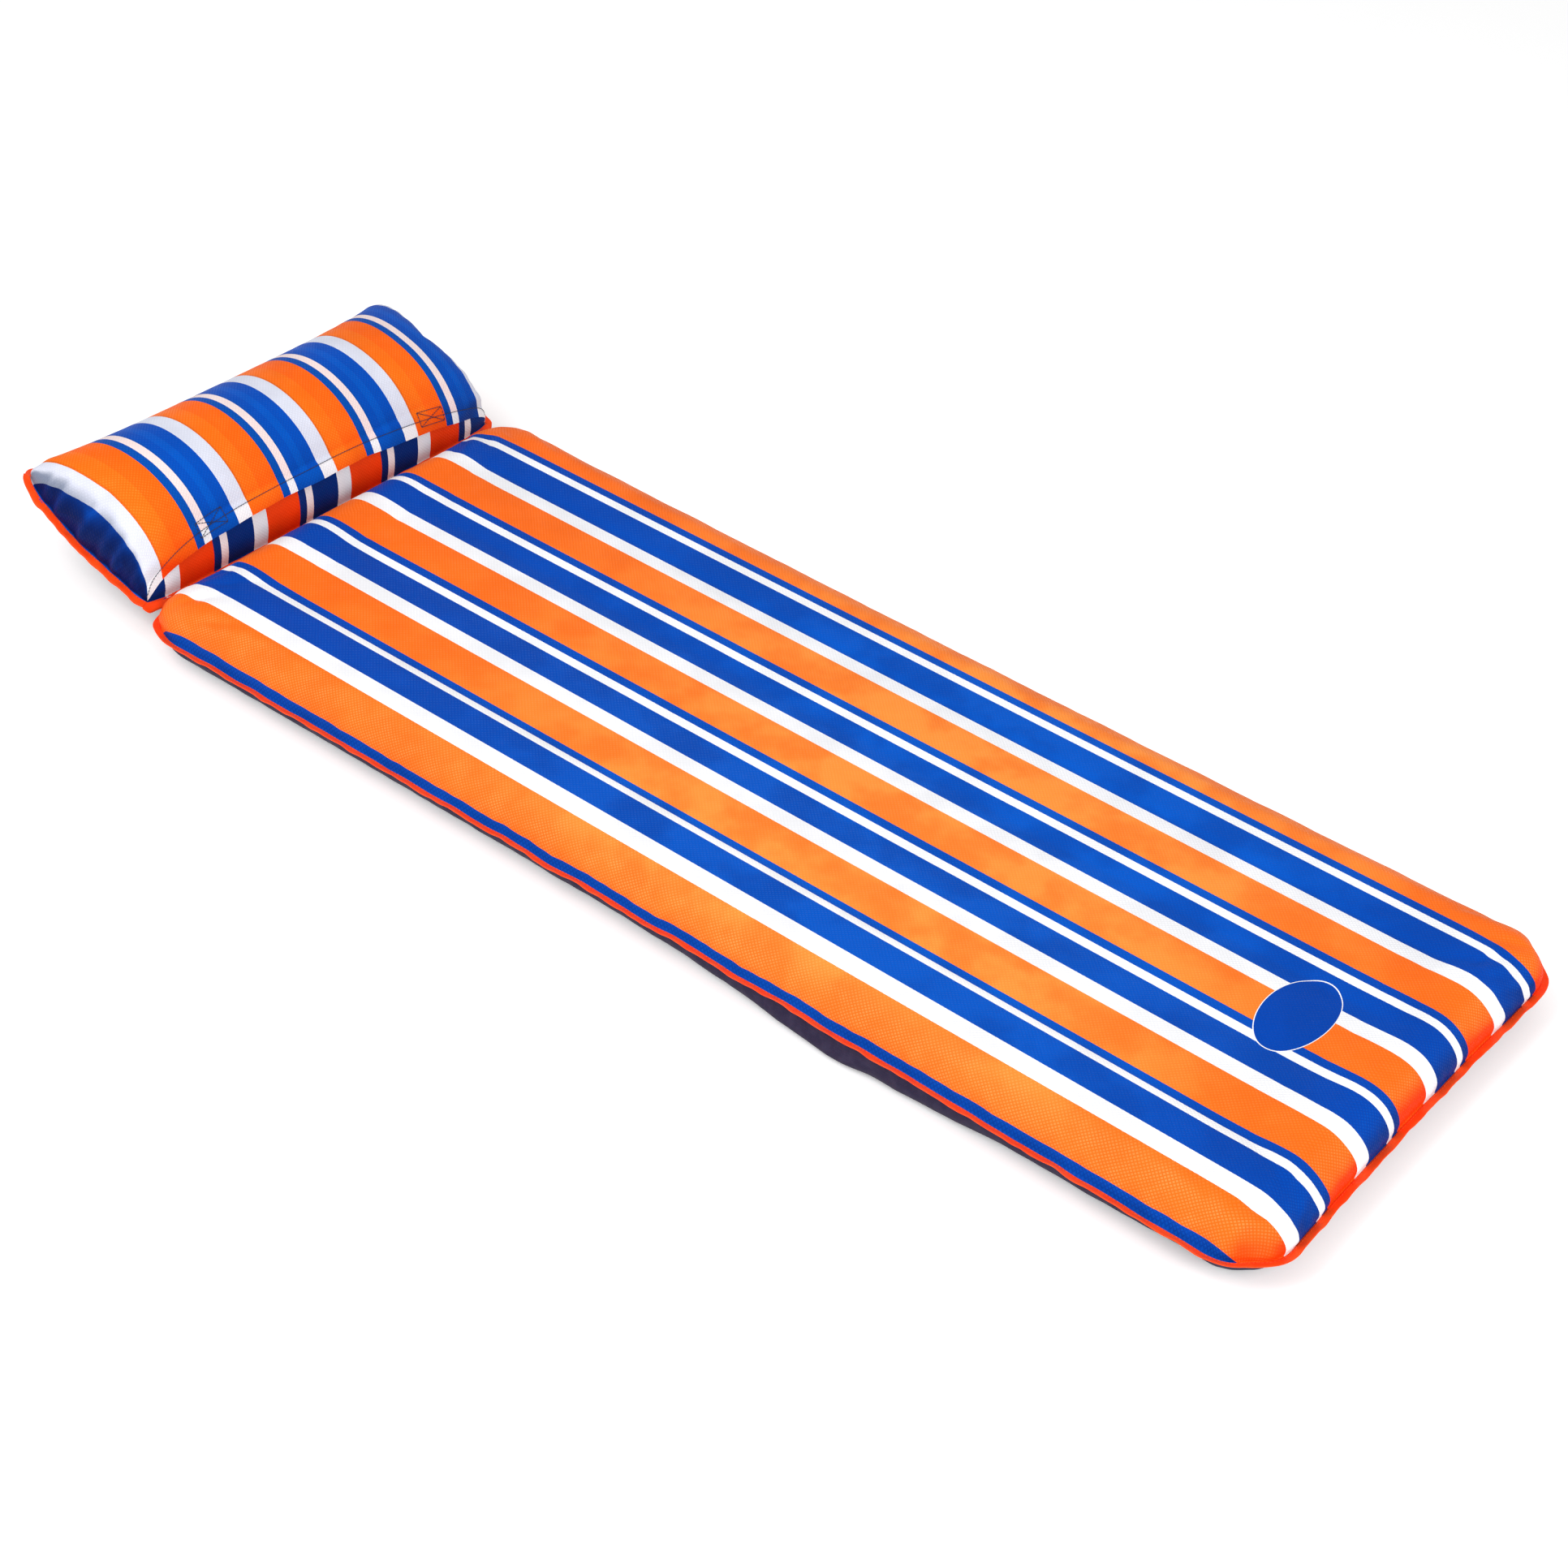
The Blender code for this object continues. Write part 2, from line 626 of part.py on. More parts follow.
def make_pillow_panel(name, side, depth, lift, unwanted, pillow_seam, group, parent, material):
    """Make one panel of the pillow's cover, with its seam allowance."""
    shape = grid_shape(pillow_layer(side, depth, side * lift))
    drop_faces(shape, unwanted)
    grow(shape, seam_edges(shape), offset_loop(pillow_seam, SEAM_ALLOWANCE), side * lift)
    inner = Vector((0.0, PILLOW_SEAM_AHEAD + PILLOW_DEPTH / 2, -side * PILLOW_CROWN / 2))
    return add_skin(name, shape, inner, FABRIC, group, parent, material)


def make_pillow_chamber(group, parent, material):
    """Make the pillow's air chamber, two layers inside its cover."""
    shape = grid_shape(pillow_layer(1, 2 * COVER_LAYER, 0.0))
    lower = grid_shape(pillow_layer(-1, 2 * COVER_LAYER, 0.0))
    spare = bpy.data.meshes.new("lower_half")
    lower.to_mesh(spare)
    lower.free()
    shape.from_mesh(spare)
    bpy.data.meshes.remove(spare)
    bmesh.ops.remove_doubles(shape, verts=shape.verts, dist=0.00001)
    bmesh.ops.recalc_face_normals(shape, faces=shape.faces)
    inner = Vector((0.0, PILLOW_SEAM_AHEAD + PILLOW_DEPTH / 2, 0.0))
    return add_skin("pillow_air_chamber", shape, inner, FILM, group, parent, material)


def flap_net():
    """Return the outer panel's net with the flap's rows standing out towards the hem."""
    normals = outward_normals(pillow_net(1), pillow_net(-1))[1]
    net = pillow_layer(1, 0.0, OUTER_PANEL_LIFT)
    columns = pillow_columns()
    for row in range(FlapSpan.hem_row, FlapSpan.fold_row):
        share = ((FlapSpan.fold_row - row) / FLAP_STEPS) ** FLARE_EASE
        for column in range(FlapSpan.first_column, FlapSpan.last_column + 1):
            over = abs(columns[column] / columns[FlapSpan.last_column])
            flare = FLAP_FLARE * share * (1 - over ** FLARE_END_POWER)
            net[row][column] += normals[row][column] * flare
    return net


def make_flap(net, pivot, group, parent, material):
    """Make the loose front edge of the outer panel, a slit away from the panel around it."""
    shape = grid_shape(net)
    drop_faces(shape, lambda column, row: not FlapSpan.holds(column, row))
    columns = shape.verts.layers.int["column"]
    rows = shape.verts.layers.int["row"]
    for vertex in shape.verts:
        column = vertex[columns]
        row = vertex[rows]
        start = net[row][column].copy()
        if row == FlapSpan.fold_row:
            vertex.co += (net[row - 1][column] - start).normalized() * FLAP_SLIT
        if column == FlapSpan.first_column:
            vertex.co += (net[row][column + 1] - start).normalized() * FLAP_SLIT
        if column == FlapSpan.last_column:
            vertex.co += (net[row][column - 1] - start).normalized() * FLAP_SLIT
    bmesh.ops.translate(shape, verts=shape.verts, vec=-pivot)
    inner = Vector((0.0, PILLOW_DEPTH, 0.0))
    return add_skin("pillow_flap", shape, inner, FABRIC, group, parent, material)


def point_on_row(points, place_x):
    """Return the point of a row of points, taken as a line, at a place across it."""
    column = max(index for index, point in enumerate(points[:-1]) if point.x <= place_x)
    start, end = points[column], points[column + 1]
    return start.lerp(end, (place_x - start.x) / (end.x - start.x))


def tab_matrix(net, centre_x, under):
    """Return where a tab lies on the strip above the hem, outside a layer or under it."""
    low, high = net[FlapSpan.hem_row], net[FlapSpan.hem_row + 1]
    reach = TAB_LENGTH / 2 + SEAT_GAP
    ends = [point_on_row(row, centre_x + side * reach) for row in (low, high) for side in (-1, 1)]
    centre = sum(ends, Vector()) / len(ends)
    right = (ends[1] - ends[0] + ends[3] - ends[2]).normalized()
    rise = ends[2] - ends[0] + ends[3] - ends[1]
    normal = right.cross(rise).normalized()
    marks = ends + [(ends[0] + ends[3]) / 2, (ends[1] + ends[2]) / 2]
    marks += [point for row in (low, high) for point in row if abs(point.x - centre_x) < reach]
    heights = [(mark - centre).dot(normal) for mark in marks]
    if under:
        stand_off = min(heights) - FABRIC - SEAT_GAP - TAB_THICKNESS / 2
    else:
        stand_off = max(heights) + SEAT_GAP + TAB_THICKNESS / 2
    turn = Matrix((right, normal.cross(right), normal)).transposed().to_4x4()
    return Matrix.Translation(centre + normal * stand_off) @ turn


def make_tabs(outer_net, pivot, group, pillow_frame, flap_frame, material):
    """Make the two hook tabs under the flap and the two loop tabs that they meet."""
    inner_net = pillow_layer(1, COVER_LAYER, PANEL_LIFT)
    size = (TAB_LENGTH, TAB_HEIGHT, TAB_THICKNESS)
    flap_end = PILLOW_WIDTH / 2 * math.sin(FLAP_END_ANGLE)
    for side, way in (("left", -1), ("right", 1)):
        centre_x = way * (flap_end - TAB_FROM_FLAP_END)
        loop_tab = box_shape(size, tab_matrix(inner_net, centre_x, under=False))
        add_piece(f"loop_tab_{side}", loop_tab, group, pillow_frame, material)
        on_flap = Matrix.Translation(-pivot) @ tab_matrix(outer_net, centre_x, under=True)
        add_piece(f"hook_tab_{side}", box_shape(size, on_flap), group, flap_frame, material)


def valve_matrix(point, normal, up):
    """Return a frame on a wall, Z out along its normal and X level."""
    level = up.cross(normal).normalized()
    turn = Matrix((level, normal.cross(level), normal)).transposed().to_4x4()
    return Matrix.Translation(point) @ turn


def mattress_valve_place():
    """Return the mattress valve's frame, low on the right side near the head."""
    place_y = MATTRESS_LENGTH / 2 - VALVE_FROM_HEAD
    place_x = side_seam(place_y) - EDGE_REACH * (1 - math.cos(VALVE_WALL_ANGLE))
    point = Vector((place_x, place_y, -UNDERSIDE_DROP * math.sin(VALVE_WALL_ANGLE)))
    normal = Vector((math.cos(VALVE_WALL_ANGLE) / EDGE_REACH, 0.0,
                     -math.sin(VALVE_WALL_ANGLE) / UNDERSIDE_DROP)).normalized()
    return valve_matrix(point, normal, Vector((0.0, 0.0, 1.0)))


def pillow_valve_place():
    """Return the pillow valve's frame, low on the back wall towards the right."""
    across = math.sin(PILLOW_VALVE_SIDE_ANGLE)
    along = -math.cos(PILLOW_VALVE_BACK_ANGLE)
    step = 0.001
    point = pillow_point(across, along, -1)
    over = pillow_point(across + step, along, -1) - point
    back = pillow_point(across, along + step, -1) - point
    normal = back.cross(over).normalized()
    return valve_matrix(point, normal, Vector((0.0, math.sin(PILLOW_TILT), math.cos(PILLOW_TILT))))


def make_valve(prefix, place, group, tools, parent, material):
    """Make a valve's body, one way leaf and plug, and return its frame."""
    frame = make_empty(f"{prefix}_valve_frame", group, parent, place)
    foot = -VALVE_FLANGE_DEPTH - VALVE_FLANGE_THICKNESS
    body = [(VALVE_NECK_RADIUS, VALVE_NECK_PROUD), (VALVE_NECK_RADIUS, -VALVE_FLANGE_DEPTH),
            (VALVE_FLANGE_RADIUS, -VALVE_FLANGE_DEPTH), (VALVE_FLANGE_RADIUS, foot),
            (VALVE_BORE_RADIUS, foot), (VALVE_BORE_RADIUS, VALVE_NECK_PROUD)]
    turned_piece(f"{prefix}_valve_body", body, True, group, frame, material)
    leaf_radius = VALVE_BORE_RADIUS + VALVE_LEAF_LAP
    leaf_shape = cylinder_shape(leaf_radius, VALVE_LEAF_THICKNESS, Vector((0.0, -leaf_radius, 0.0)))
    leaf = add_piece(f"{prefix}_valve_leaf", leaf_shape, group, frame, material)
    leaf.location = (0.0, leaf_radius, foot - SEAT_GAP - VALVE_LEAF_THICKNESS / 2)
    under_head = VALVE_NECK_PROUD + SEAT_GAP
    head_top = under_head + PLUG_HEAD_THICKNESS
    shank_radius = VALVE_BORE_RADIUS - SEAT_GAP
    shank_end = under_head - PLUG_SHANK_LENGTH
    plug = turned_piece(f"{prefix}_valve_plug",
                        [(0.0, head_top), (VALVE_NECK_RADIUS, head_top), (VALVE_NECK_RADIUS, under_head),
                         (shank_radius, under_head), (shank_radius, shank_end), (0.0, shank_end)],
                        False, group, frame, material)
    pull_centre = head_top + PLUG_PULL_HEIGHT / 2 - PLUG_HEAD_THICKNESS / 4
    pull_size = (PLUG_PULL_WIDTH, PLUG_PULL_THICKNESS, PLUG_PULL_HEIGHT + PLUG_HEAD_THICKNESS / 2)
    pull = make_tool(f"{prefix}_plug_pull", box_shape(pull_size, Matrix.Translation((0, 0, pull_centre))),
                     tools, frame)
    use_tool(plug, pull, "UNION")
    return frame


def cut_valve_hole(prefix, frame, chamber, panel, tools):
    """Cut the valve neck's way through a chamber and through the panel over it."""
    for layer, slack in ((chamber, LAYER_GAP), (panel, LAYER_GAP + SEAT_GAP)):
        shape = cylinder_shape(VALVE_NECK_RADIUS + slack, 3 * VALVE_FLANGE_DEPTH, Vector())
        use_tool(layer, make_tool(f"{prefix}_hole_{layer.name}", shape, tools, frame), "DIFFERENCE")


def build_mattress(group, tools, materials):
    """Build the mattress round a frame in the middle of its seam plane."""
    place = Matrix.Translation((0.0, MATTRESS_CENTRE_Y, UNDERSIDE_DROP))
    frame = make_empty("mattress_frame", group, None, place)
    seam = mattress_seam()
    make_top_panel(seam, group, frame, materials["print"])
    bottom = make_bottom_panel(seam, group, frame, materials["plain"])
    make_binding("mattress_binding", seam, PANEL_LIFT, group, frame, materials["tape"])
    chamber = make_mattress_chamber(seam, group, frame, materials["film"])
    for number in range(1, CHANNEL_COUNT):
        make_web(number, group, frame, materials["film"])
    make_hinge_tape(group, frame, materials["tape"])
    valve = make_valve("mattress", mattress_valve_place(), group, tools, frame, materials["valve"])
    cut_valve_hole("mattress", valve, chamber, bottom, tools)
    return frame


def build_pillow(group, tools, mattress_frame, materials):
    """Build the pillow round a frame on its fold line, and the flap round a frame of its own."""
    place = (Matrix.Translation((PILLOW_SIDE_SHIFT, HINGE_AHEAD, 0.0))
             @ Matrix.Rotation(PILLOW_TILT, 4, "X"))
    frame = make_empty("pillow_frame", group, mattress_frame, place)
    seam = net_border(pillow_net(1))
    make_pillow_panel("pillow_outer_panel", 1, 0.0, OUTER_PANEL_LIFT,
                      lambda column, row: row < FlapSpan.hem_row or FlapSpan.holds(column, row),
                      seam, group, frame, materials["print"])
    make_pillow_panel("pillow_inner_panel", 1, COVER_LAYER, PANEL_LIFT,
                      lambda column, row: False, seam, group, frame, materials["print"])
    back = make_pillow_panel("pillow_back_panel", -1, 0.0, PANEL_LIFT,
                             lambda column, row: False, seam, group, frame, materials["plain"])
    make_binding("pillow_binding", seam, OUTER_PANEL_LIFT, group, frame, materials["tape"])
    chamber = make_pillow_chamber(group, frame, materials["film"])
    fold = pillow_point(0.0, pillow_rows()[FlapSpan.fold_row], 1)
    middle = len(pillow_columns()) // 2
    fold_normal = outward_normals(pillow_net(1), pillow_net(-1))[1][FlapSpan.fold_row][middle]
    pivot = fold + fold_normal * FLAP_PIVOT_STAND_OFF
    flap_frame = make_empty("flap_frame", group, frame, Matrix.Translation(pivot))
    outer_net = flap_net()
    make_flap(outer_net, pivot, group, flap_frame, materials["print"])
    make_tabs(outer_net, pivot, group, frame, flap_frame, materials["tab"])
    valve = make_valve("pillow", pillow_valve_place(), group, tools, frame, materials["valve"])
    cut_valve_hole("pillow", valve, chamber, back, tools)
    return frame


def main():
    """Build the whole float."""
    clear_scene()
    group = make_collection("pool_float")
    tools = make_collection("cutters")
    materials = {
        "print": make_material("printed_fabric", (1.0, 0.17, 0.01), 0.55),
        "plain": make_material("plain_fabric", (0.026, 0.017, 0.05), 0.7),
        "tape": make_material("binding_tape", (1.0, 0.05, 0.0), 0.6),
        "film": make_material("air_film", (0.55, 0.65, 0.72), 0.3),
        "valve": make_material("soft_valve", (0.85, 0.85, 0.85), 0.35),
        "tab": make_material("hook_and_loop", (0.02, 0.02, 0.03), 0.9),
    }
    mattress_frame = build_mattress(group, tools, materials)
    build_pillow(group, tools, mattress_frame, materials)


if __name__ == "__main__":
    main()
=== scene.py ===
"""Dresses the striped pool float: printed covers, bindings, stitching, valves and a plain studio."""

import logging
import math
from dataclasses import dataclass, field
from enum import Enum
import bmesh
import bpy
import numpy as np
from mathutils import Matrix, Vector


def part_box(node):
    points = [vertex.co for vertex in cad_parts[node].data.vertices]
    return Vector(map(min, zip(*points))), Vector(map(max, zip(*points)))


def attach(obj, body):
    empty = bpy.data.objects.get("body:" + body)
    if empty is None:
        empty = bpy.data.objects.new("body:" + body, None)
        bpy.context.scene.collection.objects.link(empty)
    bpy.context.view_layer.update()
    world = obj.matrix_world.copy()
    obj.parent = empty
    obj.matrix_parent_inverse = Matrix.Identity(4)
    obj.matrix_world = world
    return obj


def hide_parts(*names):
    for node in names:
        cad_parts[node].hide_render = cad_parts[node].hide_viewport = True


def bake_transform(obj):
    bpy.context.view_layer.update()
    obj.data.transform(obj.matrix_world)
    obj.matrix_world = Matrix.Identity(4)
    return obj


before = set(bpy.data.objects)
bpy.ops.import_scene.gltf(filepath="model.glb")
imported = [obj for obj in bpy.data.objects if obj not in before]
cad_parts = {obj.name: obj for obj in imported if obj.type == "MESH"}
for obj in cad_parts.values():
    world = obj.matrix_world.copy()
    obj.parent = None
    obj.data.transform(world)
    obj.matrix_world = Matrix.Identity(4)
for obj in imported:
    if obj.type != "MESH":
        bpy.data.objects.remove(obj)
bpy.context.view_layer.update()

LOG = logging.getLogger("pool_float")
CLOTH_MAP = "cloth"
STEEP_SHADE = "steep_shade"
SHADED = "shaded"
DOT_SHEEN = "dot_sheen"
ABOVE_HEM = "above_hem"
YARN_PITCH = 0.0011


class Effect(Enum):
    """The shader effects that more than one finish uses."""

    STRIPES = "stripe_print"
    WEAVE = "dobby_weave"
    TAPE = "ribbed_weave"
    MARKS = "use_marks"


class Face(Enum):
    """The two faces of an inflated part, as the sign of their height."""

    UPPER = 1
    LOWER = -1


# Node work


class NodeDesk:
    """Adds and joins the nodes of one material or group."""

    def __init__(self, tree: bpy.types.NodeTree) -> None:
        """Take the tree to work on.

        Args:
            tree: the node tree of a material or group.
        """
        self.tree = tree

    def add(self, kind: str, **settings: object) -> bpy.types.Node:
        """Add a node and set its properties.

        Args:
            kind: Blender's name of the node type.
            settings: the node's properties.

        Returns:
            The new node.
        """
        node = self.tree.nodes.new(kind)
        for name, value in settings.items():
            setattr(node, name, value)
        return node

    def feed(self, socket: bpy.types.NodeSocket, value: object) -> None:
        """Link a socket to an output, or set its value.

        Args:
            socket: the input.
            value: an output socket, or a plain value.
        """
        if isinstance(value, bpy.types.NodeSocket):
            self.tree.links.new(value, socket)
        else:
            socket.default_value = value

    def math(self, operation: str, *values: object) -> bpy.types.NodeSocket:
        """Add a Math node.

        Args:
            operation: what it computes.
            values: its inputs in order.

        Returns:
            Its output.
        """
        node = self.add("ShaderNodeMath", operation=operation)
        for socket, value in zip(node.inputs, values):
            self.feed(socket, value)
        return node.outputs[0]

    def spread(self, value: object, low: float, high: float, to_low: float = 0.0,
               to_high: float = 1.0) -> bpy.types.NodeSocket:
        """Add a smooth Map Range node.

        Args:
            value: what is mapped.
            low: where the range starts.
            high: where it ends.
            to_low: the result at the start.
            to_high: the result at the end.

        Returns:
            Its output.
        """
        node = self.add("ShaderNodeMapRange", interpolation_type="SMOOTHSTEP")
        for name, number in (("From Min", low), ("From Max", high), ("To Min", to_low), ("To Max", to_high)):
            self.feed(node.inputs[name], number)
        self.feed(node.inputs["Value"], value)
        return node.outputs[0]

    def mix(self, share: object, low: object, high: object, blend: str = "MIX") -> bpy.types.NodeSocket:
        """Add a colour Mix node.

        Args:
            share: how much of the second colour shows.
            low: the first colour.
            high: the second colour.
            blend: how they combine.

        Returns:
            The mixed colour.
        """
        node = self.add("ShaderNodeMix", data_type="RGBA", blend_type=blend)
        for index, value in ((0, share), (6, low), (7, high)):
            self.feed(node.inputs[index], value)
        return node.outputs[2]

    def noise(self, place: object, scale: float, detail: float = 3.0,
              roughness: float = 0.5) -> bpy.types.NodeSocket:
        """Add a Noise Texture node.

        Args:
            place: the coordinates.
            scale: features to a metre, roughly.
            detail: how many finer layers it has.
            roughness: how strong they are.

        Returns:
            Its value, around a half.
        """
        node = self.add("ShaderNodeTexNoise")
        self.feed(node.inputs["Vector"], place)
        self.feed(node.inputs["Scale"], scale)
        self.feed(node.inputs["Detail"], detail)
        self.feed(node.inputs["Roughness"], roughness)
        return node.outputs[0]

    def split(self, place: object) -> tuple:
        """Return the first two coordinates of a place."""
        node = self.add("ShaderNodeSeparateXYZ")
        self.feed(node.inputs[0], place)
        return node.outputs[0], node.outputs[1]

    def grey(self, value: object) -> bpy.types.NodeSocket:
        """Return a value as a grey colour."""
        node = self.add("ShaderNodeCombineColor")
        for socket in node.inputs[:3]:
            self.feed(socket, value)
        return node.outputs[0]

    def stored(self, name: str) -> bpy.types.NodeSocket:
        """Return a number that is stored at the piece's points."""
        return self.add("ShaderNodeAttribute", attribute_name=name).outputs["Fac"]

    def cloth_place(self) -> bpy.types.NodeSocket:
        """Return the place on the cloth, in metres from the middle of its cut."""
        return self.add("ShaderNodeUVMap", uv_map=CLOTH_MAP).outputs[0]

    def piece_place(self) -> bpy.types.NodeSocket:
        """Return the place in the piece's own space, in metres."""
        return self.add("ShaderNodeTexCoord").outputs["Object"]


@dataclass(frozen=True)
class StripePattern:
    """The printed stripes of one repeat, as shares of its width."""

    repeat: float = 0.150
    warm: float = 0.379
    wide_ground: float = 0.1616
    wide_cool: float = 0.2977
    thin_ground: float = 0.0803
    print_wander: float = 0.004

    def edges(self) -> list[float]:
        """Return where the warm, wide pale, wide cool and thin pale stripes end."""
        widths = [self.warm, self.wide_ground, self.wide_cool, self.thin_ground]
        return [float(edge) for edge in np.cumsum(widths)]


@dataclass
class EffectGroups:
    """Builds each shader effect once, as a node group, and places it in materials."""

    stripes: StripePattern = field(default_factory=StripePattern)
    built: dict = field(default_factory=dict)

    def start(self, effect: Effect, inputs: dict[str, str], outputs: dict[str, str]) -> tuple:
        """Start a group with its named inputs and outputs.

        Args:
            effect: which effect it is.
            inputs: socket names and types.
            outputs: socket names and types.

        Returns:
            The desk, the inputs by name and the output node.
        """
        tree = bpy.data.node_groups.new(effect.value, "ShaderNodeTree")
        for name, kind in inputs.items():
            tree.interface.new_socket(name, in_out="INPUT", socket_type=kind)
        for name, kind in outputs.items():
            tree.interface.new_socket(name, in_out="OUTPUT", socket_type=kind)
        desk = NodeDesk(tree)
        self.built[effect] = tree
        return desk, desk.add("NodeGroupInput").outputs, desk.add("NodeGroupOutput").inputs

    def make_stripes(self) -> None:
        """Build the printed stripes, whose edges wander a little as ink does."""
        desk, given, result = self.start(
            Effect.STRIPES,
            {"Place": "NodeSocketVector", "Start": "NodeSocketFloat", "Direction": "NodeSocketFloat",
             "Warm": "NodeSocketColor", "Pale": "NodeSocketColor", "Cool": "NodeSocketColor"},
            {"Colour": "NodeSocketColor"})
        across, _ = desk.split(given["Place"])
        wander = desk.math("SUBTRACT", desk.noise(given["Place"], 260.0, 2.0), 0.5)
        turns = desk.math("DIVIDE", across, self.stripes.repeat)
        turns = desk.math("MULTIPLY_ADD", wander, self.stripes.print_wander, turns)
        turns = desk.math("MULTIPLY", desk.math("SUBTRACT", turns, given["Start"]), given["Direction"])
        share = desk.math("FRACT", turns)
        warm_end, pale_end, cool_end, thin_end = self.stripes.edges()
        in_warm = desk.math("LESS_THAN", share, warm_end)
        in_wide = desk.math("MULTIPLY", desk.math("GREATER_THAN", share, pale_end),
                            desk.math("LESS_THAN", share, cool_end))
        in_cool = desk.math("MAXIMUM", in_wide, desk.math("GREATER_THAN", share, thin_end))
        colour = desk.mix(in_cool, given["Pale"], given["Cool"])
        desk.feed(result["Colour"], desk.mix(in_warm, colour, given["Warm"]))

    def make_weave(self) -> None:
        """Build the small raised diamonds of the cover's cloth, with fine yarns between them."""
        desk, given, result = self.start(
            Effect.WEAVE, {"Place": "NodeSocketVector", "Pitch": "NodeSocketFloat"},
            {"Height": "NodeSocketFloat", "Lustre": "NodeSocketFloat"})
        across, along = desk.split(given["Place"])
        lines = []
        for combine in ("ADD", "SUBTRACT"):
            slant = desk.math("DIVIDE", desk.math(combine, across, along), given["Pitch"])
            lines.append(desk.math("MULTIPLY_ADD", desk.math("PINGPONG", slant, 0.5), -2.0, 1.0))
        lattice = desk.spread(desk.math("MAXIMUM", *lines), 0.35, 0.95)
        diamonds = desk.math("SUBTRACT", 1.0, lattice)
        turn = 2 * math.pi / YARN_PITCH
        yarns = [desk.math("SINE", desk.math("MULTIPLY", way, turn)) for way in (across, along)]
        yarn = desk.math("MULTIPLY_ADD", desk.math("MULTIPLY", *yarns), 0.08, diamonds)
        desk.feed(result["Height"], yarn)
        uneven = desk.spread(desk.noise(given["Place"], 45.0, 2.0), 0.3, 0.75, 0.55, 1.0)
        desk.feed(result["Lustre"], desk.math("MULTIPLY", diamonds, uneven))

    def make_tape(self) -> None:
        """Build the close cross ribs of binding tape and plain backing cloth."""
        desk, given, result = self.start(
            Effect.TAPE, {"Place": "NodeSocketVector", "Pitch": "NodeSocketFloat"},
            {"Height": "NodeSocketFloat", "Mask": "NodeSocketFloat"})
        across, along = desk.split(given["Place"])
        turn = desk.math("DIVIDE", 2 * math.pi, given["Pitch"])
        rib = desk.math("SINE", desk.math("MULTIPLY", across, turn))
        yarn = desk.math("SINE", desk.math("MULTIPLY", along, turn))
        woven = desk.math("MULTIPLY_ADD", rib, 0.35, desk.math("MULTIPLY", yarn, 0.15))
        desk.feed(result["Height"], desk.math("ADD", woven, 0.5))
        desk.feed(result["Mask"], desk.spread(desk.noise(given["Place"], 70.0, 3.0), 0.35, 0.7))

    def make_marks(self) -> None:
        """Build slow mottling, fine dust and the faint creases that cloth keeps from its folding."""
        desk, given, result = self.start(
            Effect.MARKS, {"Place": "NodeSocketVector", "Grain": "NodeSocketFloat"},
            {"Mottle": "NodeSocketFloat", "Dust": "NodeSocketFloat", "Crease": "NodeSocketFloat"})
        desk.feed(result["Mottle"], desk.spread(desk.noise(given["Place"], 11.0, 3.0), 0.3, 0.7))
        speck = desk.add("ShaderNodeTexNoise")
        desk.feed(speck.inputs["Vector"], given["Place"])
        desk.feed(speck.inputs["Scale"], given["Grain"])
        desk.feed(result["Dust"], desk.spread(speck.outputs[0], 0.62, 0.8))
        ridge = desk.add("ShaderNodeTexNoise", noise_type="RIDGED_MULTIFRACTAL")
        desk.feed(ridge.inputs["Vector"], given["Place"])
        desk.feed(ridge.inputs["Scale"], 17.0)
        desk.feed(ridge.inputs["Detail"], 2.0)
        desk.feed(result["Crease"], ridge.outputs[0])

    def place(self, desk: NodeDesk, effect: Effect, **values: object) -> bpy.types.bpy_prop_collection:
        """Place an effect in a material.

        Args:
            desk: the material's desk.
            effect: which effect.
            values: the group's inputs by name.

        Returns:
            The group's outputs.
        """
        makers = {Effect.STRIPES: self.make_stripes, Effect.WEAVE: self.make_weave,
                  Effect.TAPE: self.make_tape, Effect.MARKS: self.make_marks}
        if effect not in self.built:
            makers[effect]()
        node = desk.add("ShaderNodeGroup", node_tree=self.built[effect])
        for name, value in values.items():
            desk.feed(node.inputs[name], value)
        return node.outputs


# Finishes


@dataclass(frozen=True)
class Inks:
    """The print's colours as linear red, green and blue, with painted sheen in the sheen colours and painted
    shade in the shade colours.
    """

    warm: tuple = (1.0, 0.145, 0.006, 1.0)
    warm_sheen: tuple = (1.0, 0.280, 0.042, 1.0)
    warm_shade: tuple = (1.0, 0.042, 0.001, 1.0)
    warm_dot_sheen: tuple = (1.0, 0.480, 0.160, 1.0)
    cool: tuple = (0.000, 0.055, 0.400, 1.0)
    cool_sheen: tuple = (0.001, 0.090, 0.530, 1.0)
    cool_shade: tuple = (0.000, 0.030, 0.230, 1.0)
    cool_dot_sheen: tuple = (0.002, 0.125, 0.600, 1.0)
    pale: tuple = (0.91, 0.91, 0.94, 1.0)


@dataclass(frozen=True)
class Badge:
    """The bare oval printed near the foot, in the mattress's cloth coordinates."""

    centre: tuple = (0.004, -0.6526)
    half_width: float = 0.0702
    half_height: float = 0.0391
    outline: float = 0.024


def start_material(name: str) -> tuple:
    """Start a material with a Principled shader.

    Args:
        name: the material's name.

    Returns:
        The material, its desk and its shader.
    """
    material = bpy.data.materials.new(name)
    material.use_nodes = True
    desk = NodeDesk(material.node_tree)
    material.node_tree.nodes.clear()
    shader = desk.add("ShaderNodeBsdfPrincipled")
    output = desk.add("ShaderNodeOutputMaterial")
    desk.feed(output.inputs["Surface"], shader.outputs[0])
    return material, desk, shader


